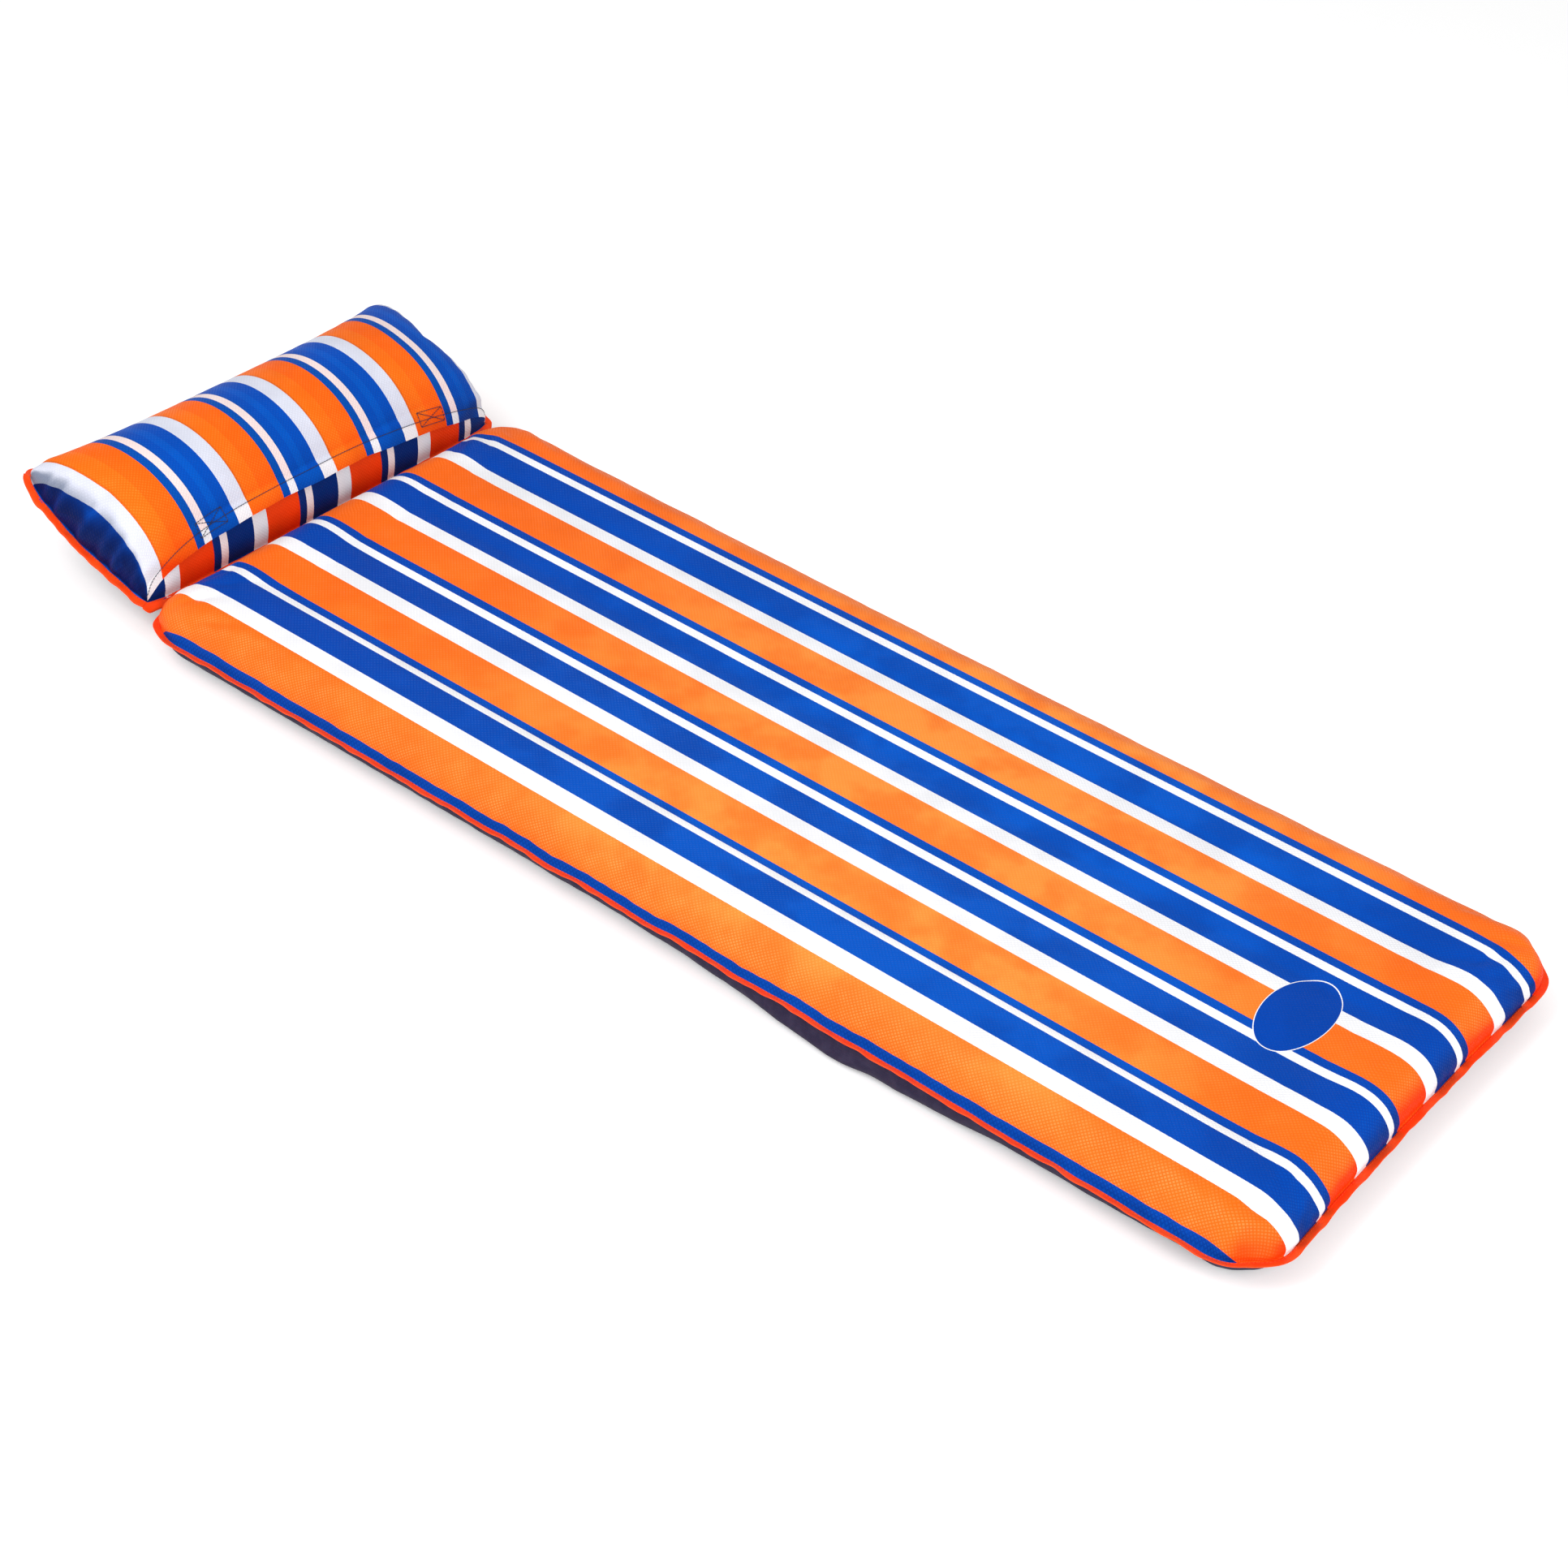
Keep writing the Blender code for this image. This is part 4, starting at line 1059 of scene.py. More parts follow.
    def seam_wave(self, outline: np.ndarray) -> tuple[np.ndarray, np.ndarray]:
        """Return how the seam rises and swells along its way round.

        Args:
            outline: the seam's outline.

        Returns:
            The rise and the swelling at each station.
        """
        step = np.linalg.norm(np.roll(outline, -1, axis=0) - outline, axis=1)
        way = running(step)[:-1]
        rise = wander(way, [(0.131, 0.0008), (0.083, 0.0004), (0.041, 0.0002)], 5)
        swell = wander(way, [(0.150, 0.0007), (0.066, 0.0003)], 9)
        near_end = np.clip((way[-1] - np.abs(2 * way - way[-1])) / 0.10, 0, 1)
        near_end *= 1 - 0.6 * eased((0.05 - outline[:, 1] - self.half_along) / 0.05)
        rise, swell = rise * near_end, swell * near_end
        out = self.seam_corner * math.sqrt(0.5)
        for side, end, push in ((-1, -1, -self.foot_tuck), (1, -1, -self.foot_tuck), (-1, 1, self.head_push)):
            corner = np.array([side * (self.half_across + out), end * (self.half_along + out)])
            away = np.linalg.norm(outline - corner, axis=1)
            swell = swell + push * np.exp(-(away / self.corner_reach) ** 2)
        return rise, swell

    def slack(self, outline: np.ndarray, outward: np.ndarray) -> np.ndarray:
        """Return where along the left side the lower cover hangs full, from 0 to 1."""
        left = np.clip(-outward[:, 0], 0, 1)
        bump = np.exp(-((outline[:, 1] - self.slack_place) / self.slack_reach) ** 2)
        return left * bump * (1 + 0.15 * wander(outline[:, 1], [(0.17, 1.0), (0.09, 0.5)], 15))

    def shell(self, face: Face, sink: float) -> tuple:
        """Return the points and faces of one cover panel.

        Args:
            face: the upper or lower panel.
            sink: how far inside the cover's face it lies.

        Returns:
            The points, their places in the print, the faces, each point's ring and the flat cut.
        """
        border = self.ring(self.edge_reach)
        crown = self.crown(border)
        flat = [crown.reshape(-1, 2)]
        height = self.rise - sink
        if face is Face.UPPER:
            height = height - self.groove(flat[0][:, 0], flat[0][:, 1])
        points = [np.column_stack([flat[0], np.broadcast_to(height, len(flat[0]))])]
        rings = [np.zeros(len(flat[0]))]
        seam = self.ring(0.0)
        cut = list(flat)
        rise, swell = self.seam_wave(seam)
        outward = unit(self.ring(-0.001) - seam)
        base = self.fullness if face is Face.UPPER else 2.0
        slack = self.slack(seam, outward) if face is Face.LOWER and sink == 0 else np.zeros(len(seam))
        full = base + self.slack_fullness * slack
        at_end = np.where(outward[:, 1] > 0, self.head_bulge, self.foot_bulge)
        bulge = np.abs(outward[:, 0]) * self.side_bulge + np.abs(outward[:, 1]) * at_end
        bulge = bulge * (face is Face.UPPER)
        near_foot = -np.array([self.half_across, self.half_along])
        away = np.linalg.norm(seam - near_foot, axis=1) / self.tuck_reach
        tuck = self.corner_tuck * np.exp(-away ** 4) * (face is Face.LOWER and sink == 0)
        for number in range(1, self.wall_cells + 1):
            angle, arc = self.ring_angles[number], self.ring_arcs[number]
            sine, cosine = math.sin(angle), max(math.cos(angle), 0.0)
            over = sine ** (2 / base)
            outline = self.ring(self.edge_reach * (1 - over) + sine * sink)
            share = sine ** 4
            overhang = 1.59 * sine ** 6 * cosine ** 0.5 * bulge + self.slack_bulge * slack * 2 * sine * cosine
            out = swell * share + self.edge_reach * (sine ** (2 / full) - over) + overhang
            out = out - tuck * 2 * sine * cosine
            away = self.rise * cosine ** (2 / full) - cosine * sink + rise * share * face.value
            points.append(np.column_stack([outline + outward * out[:, None], away]))
            flat.append(self.ring(self.edge_reach - arc))
            cut.append(self.ring(self.edge_reach - self.cut_arcs[number]))
            rings.append(np.full(len(outline), float(number)))
        if sink == 0:
            for out in (self.allowance / 2, self.allowance):
                outline = self.ring(-out) + outward * swell[:, None]
                points.append(np.column_stack([outline, rise * face.value + 0.0002]))
                flat.append(self.ring(self.edge_reach - self.wall_arc - out))
                cut.append(self.ring(self.edge_reach - self.cut_arcs[-1] - out))
                rings.append(np.full(len(outline), self.wall_cells + 1.0))
        points = np.concatenate(points)
        points[:, 2] *= face.value
        flat = np.concatenate(flat)
        return (points, flat, self.shell_faces(len(seam), len(rings) - 1, face), np.concatenate(rings),
                np.concatenate(cut))

    def shell_faces(self, stations: int, rings: int, face: Face) -> np.ndarray:
        """Return the faces of a crown net with rings round it.

        Args:
            stations: how many points a ring has.
            rings: how many rings there are.
            face: which way the faces look.

        Returns:
            The faces.
        """
        across, along = self.crown_cells()
        faces = [net_faces(along + 1, across + 1)]
        numbers = [self.border_numbers()]
        first = (across + 1) * (along + 1)
        numbers += [first + ring * stations + np.arange(stations) for ring in range(rings)]
        for inner, outer in zip(numbers, numbers[1:]):
            faces.append(np.stack([inner, outer, np.roll(outer, -1), np.roll(inner, -1)], axis=1))
        faces = np.concatenate(faces)
        return faces if face is Face.UPPER else faces[:, ::-1]


@dataclass
class Mattress:
    """The long inflated bed: covers, air chamber, webs and binding; HeadTape makes its head tape."""

    finishes: Finishes
    form: MattressForm = field(default_factory=MattressForm)
    air: AirPressure = field(default_factory=lambda: AirPressure(reach=0.0045))
    # settings for mark_cloth's painted shade and painted sheen
    shade_and_sheen: tuple = (0.88, 0.42, 0.1, 0.0, 0.35)
    gather_height: float = 0.0011
    gather_rings: float = 4.5
    film_sink: float = 0.0075
    web_end_gap: float = 0.045
    print_edge: float = -0.3500
    side_turn_up: float = 0.0040
    foot_turn_up: float = 0.0025

    def placed(self, points: np.ndarray) -> np.ndarray:
        """Return points of the mattress's own frame in the float's frame."""
        return points + np.array(self.form.centre)

    def gathers(self, points: np.ndarray, flat: np.ndarray, rings: np.ndarray, seed: int) -> np.ndarray:
        """Return how far the gathers by the seam push each point out.

        Args:
            points: the panel's points.
            flat: their places on the cloth; not used.
            rings: each point's ring.
            seed: which gathers.

        Returns:
            A distance to each point.
        """
        turn = np.arctan2(points[:, 1] / self.form.length, points[:, 0] / self.form.width)
        way = turn * (self.form.length + self.form.width) / math.pi
        fine = wander(way, [(0.027, 0.5), (0.019, 0.35), (0.043, 0.4)], seed)
        corner = np.minimum(np.abs(points[:, 0]) - self.form.half_across,
                            np.abs(points[:, 1]) - self.form.half_along)
        fine = fine * (1 + 1.5 * eased(corner / 0.02))
        near = np.exp(-((rings - self.form.wall_cells) / self.gather_rings) ** 2)
        near[rings > self.form.wall_cells] = 0.0
        near[rings == self.form.wall_cells] *= 0.25
        return self.gather_height * fine * near

    def make_panel(self, name: str, face: Face, node: str, finish: object, seed: int) -> bpy.types.Object:
        """Make one cover panel, gathered at its seam and blown up.

        Args:
            name: the piece's name.
            face: upper or lower.
            node: the CAD node it stands for.
            finish: its finish.
            seed: which gathers.

        Returns:
            The piece.
        """
        points, flat, faces, rings, cut = self.form.shell(face, 0.0)
        flat[:, 0] = np.maximum(flat[:, 0], self.print_edge)
        piece = new_piece(name, points, faces, flat[faces.ravel()])
        normals = np.zeros(len(points) * 3, np.float32)
        piece.data.vertices.foreach_get("normal", normals)
        normals = normals.reshape(-1, 3)
        if face is Face.UPPER:
            held = np.where(rings >= self.form.wall_cells, 1.0, 0.0)
            web = np.abs(((points[:, 0] + self.form.width / 2) / self.form.channel_width + 0.5) % 1 - 0.5)
            on_web = (web < 0.03) & (rings == 0) & (np.abs(points[:, 0]) < 0.25)
            on_web &= np.abs(points[:, 1]) < self.form.half_along - 0.02
            held[on_web] = np.maximum(held[on_web], 0.5)
            points = points + self.air.blow(piece, held, np.column_stack([cut, np.zeros(len(cut))]))
        points = points + normals * self.gathers(points, flat, rings, seed)[:, None]
        if face is Face.LOWER:
            points[:, 2] = np.maximum(points[:, 2], -self.form.rise)
        piece.data.vertices.foreach_set("co", self.placed(points).astype(np.float32).ravel())
        piece.data.update()
        if face is Face.UPPER:
            mark_cloth(piece, *self.shade_and_sheen)
        finer(piece)
        self.finishes.dress(piece, finish)
        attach(piece, "mattress")
        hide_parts(node)
        return piece

    def make_film(self) -> list[bpy.types.Object]:
        """Make the air chamber's film and the webs inside it."""
        coarse = MattressForm(cells_across=30, cells_along=76, cells_corner=8, wall_cells=7)
        upper, _, upper_faces, _, _ = coarse.shell(Face.UPPER, self.film_sink)
        lower, _, lower_faces, _, _ = coarse.shell(Face.LOWER, self.film_sink)
        points = np.concatenate([upper, lower])
        faces = np.concatenate([upper_faces, lower_faces + len(upper)])
        film = new_piece("mattress_film", self.placed(points), faces, None)
        merge = film.modifiers.new("weld", "WELD")
        merge.merge_threshold = 0.002
        self.finishes.dress(film, AIR_FILM)
        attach(film, "mattress")
        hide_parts("mattress_air_chamber")
        pieces = [film]
        for number in range(1, coarse.channels):
            pieces.append(self.make_web(coarse, number))
        return pieces

    def make_web(self, form: MattressForm, number: int) -> bpy.types.Object:
        """Make a web, a strip of film from the chamber's floor to its crown.

        Args:
            form: the mattress's form.
            number: which web, from the left.

        Returns:
            The piece.
        """
        half = form.length / 2 - form.edge_reach - self.web_end_gap
        place = number * form.channel_width - form.width / 2
        along = np.linspace(-half, half, 90)
        up = np.linspace(0, 1, 8)
        top = form.rise - self.film_sink - 0.0015 - form.groove(np.full_like(along, place), along)
        low = -form.rise + self.film_sink + 0.0015
        net = np.zeros((len(up), len(along), 3))
        net[..., 1] = along[None]
        net[..., 2] = low + (top - low)[None] * up[:, None]
        bow = np.sin(math.pi * up)[:, None] * wander(along, [(0.31, 0.0018), (0.12, 0.0007)], 40 + number)
        net[..., 0] = place + bow
        faces = net_faces(len(up), len(along))
        web = new_piece(f"web_film_{number}", self.placed(net.reshape(-1, 3)), faces, None)
        solid(web, 0.0004, 0.0)
        self.finishes.dress(web, AIR_FILM)
        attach(web, "mattress")
        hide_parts(f"chamber_web_{number}")
        return web

    def seam_path(self) -> tuple[np.ndarray, np.ndarray]:
        """Return the binding's path in space and its outward directions."""
        seam = self.form.ring(0.0)
        rise, swell = self.form.seam_wave(seam)
        outward = unit(self.form.ring(-0.001) - seam)
        path = np.column_stack([seam + outward * swell[:, None], rise])
        return self.placed(path), np.column_stack([outward, np.zeros(len(outward))])

    def build(self) -> list[bpy.types.Object]:
        """Build the mattress's pieces."""
        top = self.make_panel("mattress_top_cover", Face.UPPER, "mattress_top_panel", MATTRESS_PRINT, 11)
        bottom = self.make_panel("mattress_bottom_cover", Face.LOWER, "mattress_bottom_panel", PLAIN_BACK, 12)
        path, outward = self.seam_path()
        binding = Binding("mattress_seam_binding", "mattress_binding", "mattress", 0.0004, 21)
        turn_up = (self.side_turn_up * np.clip(-outward[:, 0], 0, 1)
                   + self.foot_turn_up * np.clip(-outward[:, 1], 0, 1))
        tape = binding.build(self.finishes, path, outward, np.array([0.0, 0.0, 1.0]), -turn_up)
        return [top, bottom, *self.make_film(), *tape]


# Bindings and stitches


@dataclass
class Binding:
    """Folded tape sewn over a seam's raw edges, with its row of stitches."""

    name: str
    node: str
    body: str
    lift: float
    seed: int
    start: float = 0.0012
    reach: float = 0.0112
    half_thickness: float = 0.0007
    rumple: float = 0.0004
    stitch_from_edge: float = 0.0022

    def section(self) -> tuple[np.ndarray, np.ndarray]:
        """Return the folded tape's section: distances out, and heights from its middle."""
        turn = np.linspace(math.pi / 2, -math.pi / 2, 7)
        fold = self.reach - self.half_thickness
        out = np.concatenate([[self.start, self.start + 0.0006, (self.start + fold) / 2],
                              fold + self.half_thickness * np.cos(turn),
                              [(self.start + fold) / 2, self.start + 0.0006, self.start]])
        half = self.lift + self.half_thickness
        height = np.concatenate([[self.lift + 0.0003, half * 0.92, half],
                                 half * np.sin(turn), [-half, -half * 0.92, -self.lift - 0.0003]])
        return out, height

    def build(self, finishes: Finishes, path: np.ndarray, outward: np.ndarray, up: np.ndarray,
              droop: np.ndarray | float = 0.0) -> list[bpy.types.Object]:
        """Build the tape and its stitches.

        Args:
            finishes: the shared finishes.
            path: the seam's points, closed.
            outward: the direction away from the part at each of them.
            up: the direction square to the seam's plane.
            droop: how far the tape's edge hangs at each of them.

        Returns:
            The two pieces.
        """
        step = np.linalg.norm(np.roll(path, -1, axis=0) - path, axis=1)
        way = running(step)
        out, height = self.section()
        ripple = wander(way[:-1], [(0.037, 1.0), (0.021, 0.6), (0.095, 0.8)], self.seed) * self.rumple
        swell = wander(way[:-1], [(0.052, 1.0), (0.024, 0.5)], self.seed + 1) * self.rumple
        share = (out / self.reach)[:, None, None]
        droop = np.broadcast_to(droop, len(path))
        net = (path[None] + outward[None] * (out[:, None, None] + swell[None, :, None] * share)
               + up * (height[:, None, None] + ripple[None, :, None] * share * 1.6
                       - droop[None, :, None] * share ** 2))
        faces = net_faces(len(out), len(path), wrap=True)[:, ::-1]
        girth = running(np.hypot(np.diff(out), np.diff(height)))
        cloth = np.stack(np.broadcast_arrays(way[None, :], girth[:, None]), axis=-1)
        corners = cloth.reshape(-1, 2)[net_faces(len(out), len(path) + 1)[:, ::-1].ravel()]
        tape = new_piece(self.name, net.reshape(-1, 3), faces, corners)
        solid(tape, 0.0005)
        finer(tape)
        finishes.dress(tape, BINDING_TAPE)
        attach(tape, self.body)
        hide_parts(self.node)
        place = self.start + self.stitch_from_edge
        line = path + outward * place + up * (self.lift + self.half_thickness + 0.0004)
        line = line + up * (ripple * place / self.reach * 1.6 - droop * (place / self.reach) ** 2)[:, None]
        stitches = Stitches(f"{self.name}_stitches", 0.0034, 0.0011, 0.0003)
        seam = stitches.sew([np.concatenate([line, line[:1]])], np.broadcast_to(up, (1, 3)))
        finishes.dress(seam, WARM_THREAD)
        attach(seam, self.body)
        return [tape, seam]


@dataclass
class Stitches:
    """A row of lock stitches, each a short rounded length of thread."""

    name: str
    length: float
    gap: float
    radius: float

    def sew(self, lines: list[np.ndarray], ups: np.ndarray) -> bpy.types.Object:
        """Sew along lines.

        Args:
            lines: the lines to follow.
            ups: the way out of the cloth, one for each line.

        Returns:
            All the stitches as one piece.
        """
        profile = [(0.0, -0.4), (0.12, 0.55), (0.5, 1.0), (0.88, 0.55), (1.0, -0.4)]
        points, faces = [], []
        for line, up in zip(lines, np.broadcast_to(ups, (len(lines), 3))):
            way = running(np.linalg.norm(np.diff(line, axis=0), axis=1))
            count = max(int(way[-1] / (self.length + self.gap)), 1)
            for number in range(count):
                start = (number + 0.1) * way[-1] / count
                end = start + self.length
                ends = np.stack([np.interp((start, end), way, line[:, axis]) for axis in range(3)], axis=1)
                along = unit(ends[1] - ends[0])
                side = unit(np.cross(up, along))
                base = len(points)
                for share, high in profile:
                    centre = ends[0] + (ends[1] - ends[0]) * share + up * (self.radius * high * 0.6)
                    wide = self.radius * (0.55 + 0.45 * math.sin(math.pi * share))
                    for turn in range(6):
                        angle = turn * math.pi / 3
                        points.append(centre + side * wide * math.cos(angle) + up * wide * math.sin(angle))
                for ring in range(len(profile) - 1):
                    for turn in range(6):
                        a = base + ring * 6 + turn
                        b = base + ring * 6 + (turn + 1) % 6
                        faces.append((a, b, b + 6, a + 6))
        return new_piece(self.name, np.array(points), np.array(faces), None)


# The pillow


@dataclass
class PillowForm:
    """The pillow's shape, seen from its fold line."""

    width: float = 0.627
    depth: float = 0.2367
    crown: float = 0.108
    belly: float = 0.096
    seam_ahead: float = 0.0113
    end_draw_in: float = 0.005
    corner_pull: float = 0.006
    pull_across: float = 12.0
    pull_along: float = 6.0
    corner_lift: float = 0.036
    lift_across: float = 4.0
    lift_along: float = 1.5
    end_fullness: float = 4.7
    belly_end_power: float = 4.0
    section_fullness: float = 2.13
    hem_angle: float = math.radians(17.5)
    fold_angle: float = math.radians(41.0)
    flap_end_angle: float = math.radians(60.0)
    tilt: float = math.radians(14.2)
    origin: tuple = (0.012, 0.699715, 0.042)
    floor_drop: float = 0.042
    cells_across: int = 136
    cells_along: int = 72

    def matrix(self) -> Matrix:
        """Return where the pillow's frame stands."""
        return Matrix.Translation(self.origin) @ Matrix.Rotation(self.tilt, 4, "X")

    def placed(self, points: np.ndarray) -> np.ndarray:
        """Return points of the pillow's frame in the float's frame."""
        matrix = np.array(self.matrix())
        return points @ matrix[:3, :3].T + matrix[:3, 3]

    def point(self, across: np.ndarray, along: np.ndarray, face: Face) -> np.ndarray:
        """Return points of the pillow's outer face.

        Args:
            across: places from -1 to 1 between the end seams.
            along: places from -1 to 1 between the front and back seams.
            face: upper or lower.

        Returns:
            The points.
        """
        spread = np.abs(across) ** self.pull_across
        pull = self.corner_pull * spread * np.abs(along) ** self.pull_along
        drawn = self.end_draw_in * spread * (1 - along ** 2)
        x = self.width / 2 * across - np.sign(across) * (drawn + pull)
        y = self.seam_ahead + self.depth / 2 * (1 + along) - np.sign(along) * pull
        lift = self.corner_lift * np.abs(across) ** self.lift_across * np.maximum(along, 0) ** self.lift_along
        section = np.maximum(1 - np.abs(along) ** self.section_fullness, 0) ** (1 / self.section_fullness)
        if face is Face.UPPER:
            fall = np.maximum(1 - np.abs(across) ** self.end_fullness, 0)
            rise = self.crown * fall ** (1 / self.end_fullness)
        else:
            rise = -self.belly * (1 - np.abs(across) ** self.belly_end_power)
        return np.stack([x, y, np.maximum(rise * section + lift, self.floor(y))], axis=-1)

    def floor(self, y: np.ndarray) -> np.ndarray:
        """Return how low the floor lies in the pillow's frame."""
        return -(self.floor_drop + y * math.sin(self.tilt)) / math.cos(self.tilt)

    def even(self, half: float, rise: float, fullness: float, cells: int) -> tuple[np.ndarray, np.ndarray]:
        """Return places from -1 to 1 that lie evenly along a fullness curve.

        Args:
            half: half the curve's width.
            rise: its height.
            fullness: its exponent.
            cells: how many steps.

        Returns:
            The places, and their distances along the cloth from the middle.
        """
        angle = np.linspace(-math.pi / 2, math.pi / 2, 4001)
        place = np.sin(angle)
        height = rise * np.maximum(1 - np.abs(place) ** fullness, 0) ** (1 / fullness)
        arc = running(np.hypot(np.diff(half * place), np.diff(height)))
        arc -= arc[-1] / 2
        even = np.linspace(arc[0], arc[-1], cells + 1)
        return np.interp(even, arc, place), even

    def columns(self) -> tuple[np.ndarray, np.ndarray]:
        """Return the columns' places and their distances along the cloth."""
        return self.even(self.width / 2, self.crown, self.end_fullness, self.cells_across)

    def rows(self) -> tuple[np.ndarray, np.ndarray]:
        """Return the rows' places and their distances along the cloth."""
        return self.even(self.depth / 2, self.crown, self.section_fullness, self.cells_along)


@dataclass
class Pillow:
    """The head pillow: printed covers, plain back, flap, air chamber, binding and stitches."""

    finishes: Finishes
    form: PillowForm = field(default_factory=PillowForm)
    air: AirPressure = field(default_factory=lambda: AirPressure(pressure=3.5, reach=0.006))
    # settings for mark_cloth's painted shade, painted end shade and painted sheen
    shade_and_sheen: tuple = (0.75, -0.05, 1.0, 1.0, 0.8)
    allowance: float = 0.004
    flap_flare: float = 0.005
    flare_ease: float = 0.62
    hem_height: float = 0.0575
    hem_drop: float = 0.0300
    hem_drop_at: float = 0.305
    hem_powers: tuple = (5.0, 1.9)
    hem_least: float = 0.010
    hem_band: float = 0.0175
    end_ease: float = 0.55
    print_skew: float = 0.014
    front_droop: float = 0.006
    end_crease: float = 0.0021
    back_crease: float = 0.0012
    cloth_thickness: float = 0.0006
    patch: tuple = (0.045, 0.020)
    patch_from_middle: float = 0.197
    patch_above_hem: float = 0.0095
    tab_height: float = 0.0150
    tab_thickness: float = 0.0008

    def __post_init__(self) -> None:
        """Lay out the net of the cloth."""
        self.across, self.cloth_across = self.form.columns()
        self.along, self.cloth_along = self.form.rows()
        self.cloth_along = self.cloth_along - self.cloth_along[0]
        angles = np.arccos(-np.clip(self.along, -1, 1))
        self.hem_row = int(np.argmin(np.abs(angles - self.form.hem_angle)))
        self.fold_row = int(np.argmin(np.abs(angles - self.form.fold_angle)))
        edge = math.sin(self.form.flap_end_angle)
        self.first_column = int(np.argmin(np.abs(self.across + edge)))
        self.last_column = int(np.argmin(np.abs(self.across - edge)))

    def cut(self) -> np.ndarray:
        """Return each net point's place on the flat cut, which is as wide everywhere as at the crown."""
        return np.stack(np.meshgrid(self.cloth_across, self.cloth_along), axis=-1)

    def cloth(self) -> np.ndarray:
        """Return each net point's place in the print, which follows the length of its own row."""
        across, along = np.meshgrid(self.across, self.along)
        net = self.form.point(across, along, Face.UPPER)
        way = running(np.linalg.norm(np.diff(net, axis=1), axis=2), 1)
        middle = net.shape[1] // 2
        way -= way[:, middle:middle + 1]
        over = net[..., 0] + self.end_ease * (way - net[..., 0])
        over += self.print_skew * np.maximum(along, 0) * np.maximum(-across, 0) ** 3
        return np.stack([over, np.broadcast_to(self.cloth_along[:, None], over.shape)], axis=-1)

    def hem_line(self, across: np.ndarray) -> np.ndarray:
        """Return how far the hem lies from the front seam along the cloth, least at the ends."""
        power = np.where(across < 0, *self.hem_powers)
        drop = self.hem_drop * (np.abs(across) / self.hem_drop_at) ** power
        return np.maximum(self.hem_height - drop, self.hem_least)

    def drawn_up(self, net: np.ndarray) -> np.ndarray:
        """Return a net whose rows from the hem to the fold follow the hem's curve."""
        result = net.copy()
        numbers = np.arange(len(self.cloth_along))
        fold = self.cloth_along[self.fold_row]
        count = self.fold_row - self.hem_row + 1
        for column, hem in enumerate(self.hem_line(self.cloth_across)):
            rows = np.interp(np.linspace(hem, fold, count), self.cloth_along, numbers)
            for axis in range(net.shape[2]):
                line = np.interp(rows, numbers, net[:, column, axis])
                result[self.hem_row:self.fold_row + 1, column, axis] = line
        return result

    def row_at(self, across: np.ndarray, along: np.ndarray, hemmed: bool) -> np.ndarray:
        """Return the row numbers of places on the cloth.

        Args:
            across: distances from the cloth's middle.
            along: distances from the front seam.
            hemmed: whether the net follows the hem's curve.

        Returns:
            The rows, with their fractions.
        """
        plain = np.interp(along, self.cloth_along, np.arange(len(self.cloth_along)))
        if not hemmed:
            return plain
        hem, fold = self.hem_line(across), self.cloth_along[self.fold_row]
        drawn = self.hem_row + (along - hem) / (fold - hem) * (self.fold_row - self.hem_row)
        return np.where(along < fold, drawn, plain)

    def mark_hem(self, piece: bpy.types.Object, cloth: np.ndarray) -> None:
        """Store how far each point lies above the hem's stitches."""
        store(piece, ABOVE_HEM, cloth[:, 1] - self.hem_line(cloth[:, 0]) - self.hem_band)

    def blown(self, face: Face) -> np.ndarray:
        """Return the net of one face after it is blown up.

        Args:
            face: upper or lower.

        Returns:
            The net, in the pillow's frame.
        """
        across, along = np.meshgrid(self.across, self.along)
        net = self.form.point(across, along, face)
        faces = net_faces(*net.shape[:2])
        if face is Face.LOWER:
            faces = faces[:, ::-1]
        trial = new_piece(f"trial_{face.name.lower()}", net.reshape(-1, 3), faces, None)
        held = np.zeros(net.shape[:2])
        held[[0, -1], :] = 1.0
        held[:, [0, -1]] = 1.0
        cut = np.concatenate([self.cut(), np.zeros((*net.shape[:2], 1))], axis=-1)
        moved = self.air.blow(trial, held.ravel(), cut.reshape(-1, 3))
        bpy.data.objects.remove(trial)
        net = net + moved.reshape(net.shape)
        if face is Face.LOWER:
            net[..., 2] = np.maximum(net[..., 2], self.form.floor(net[..., 1]))
        return net

    def creased(self, net: np.ndarray, seed: int) -> np.ndarray:
        """Return the net with the creases that its gathered seams leave.

        Args:
            net: a blown net.
            seed: which creases.

        Returns:
            The creased net.
        """
        from_left = running(np.linalg.norm(np.diff(net, axis=1), axis=2), 1)
        from_end = np.minimum(from_left, from_left[:, -1:] - from_left)
        from_front = running(np.linalg.norm(np.diff(net, axis=0), axis=2))
        from_back = from_front[-1:] - from_front
        end_waves = [(0.034, 1.0), (0.021, 0.7), (0.055, 0.6)]
        back_waves = [(0.043, 1.0), (0.027, 0.7)]
        push = np.zeros(from_end.shape)
        for way, waves, chance, height, away, reach in (
                (net[..., 1] + 0.25 * from_end, end_waves, seed, self.end_crease, from_end, 0.055),
                (net[..., 0] + 0.2 * from_back, back_waves, seed + 1, self.back_crease, from_back, 0.040)):
            fold = wander(way.ravel(), waves, chance).reshape(way.shape)
            push += height * fold * np.exp(-(away / reach) ** 2) * (1 - np.exp(-(away / 0.008) ** 2))
        push *= 1 - np.exp(-(from_front / 0.010) ** 2)
        return net + net_normals(net) * push[..., None]

    def outline(self, net: np.ndarray) -> np.ndarray:
        """Return a net's border, counter-clockwise from its front left corner."""
        return np.concatenate([net[0, :-1], net[:-1, -1], net[-1, :0:-1], net[:0:-1, 0]])

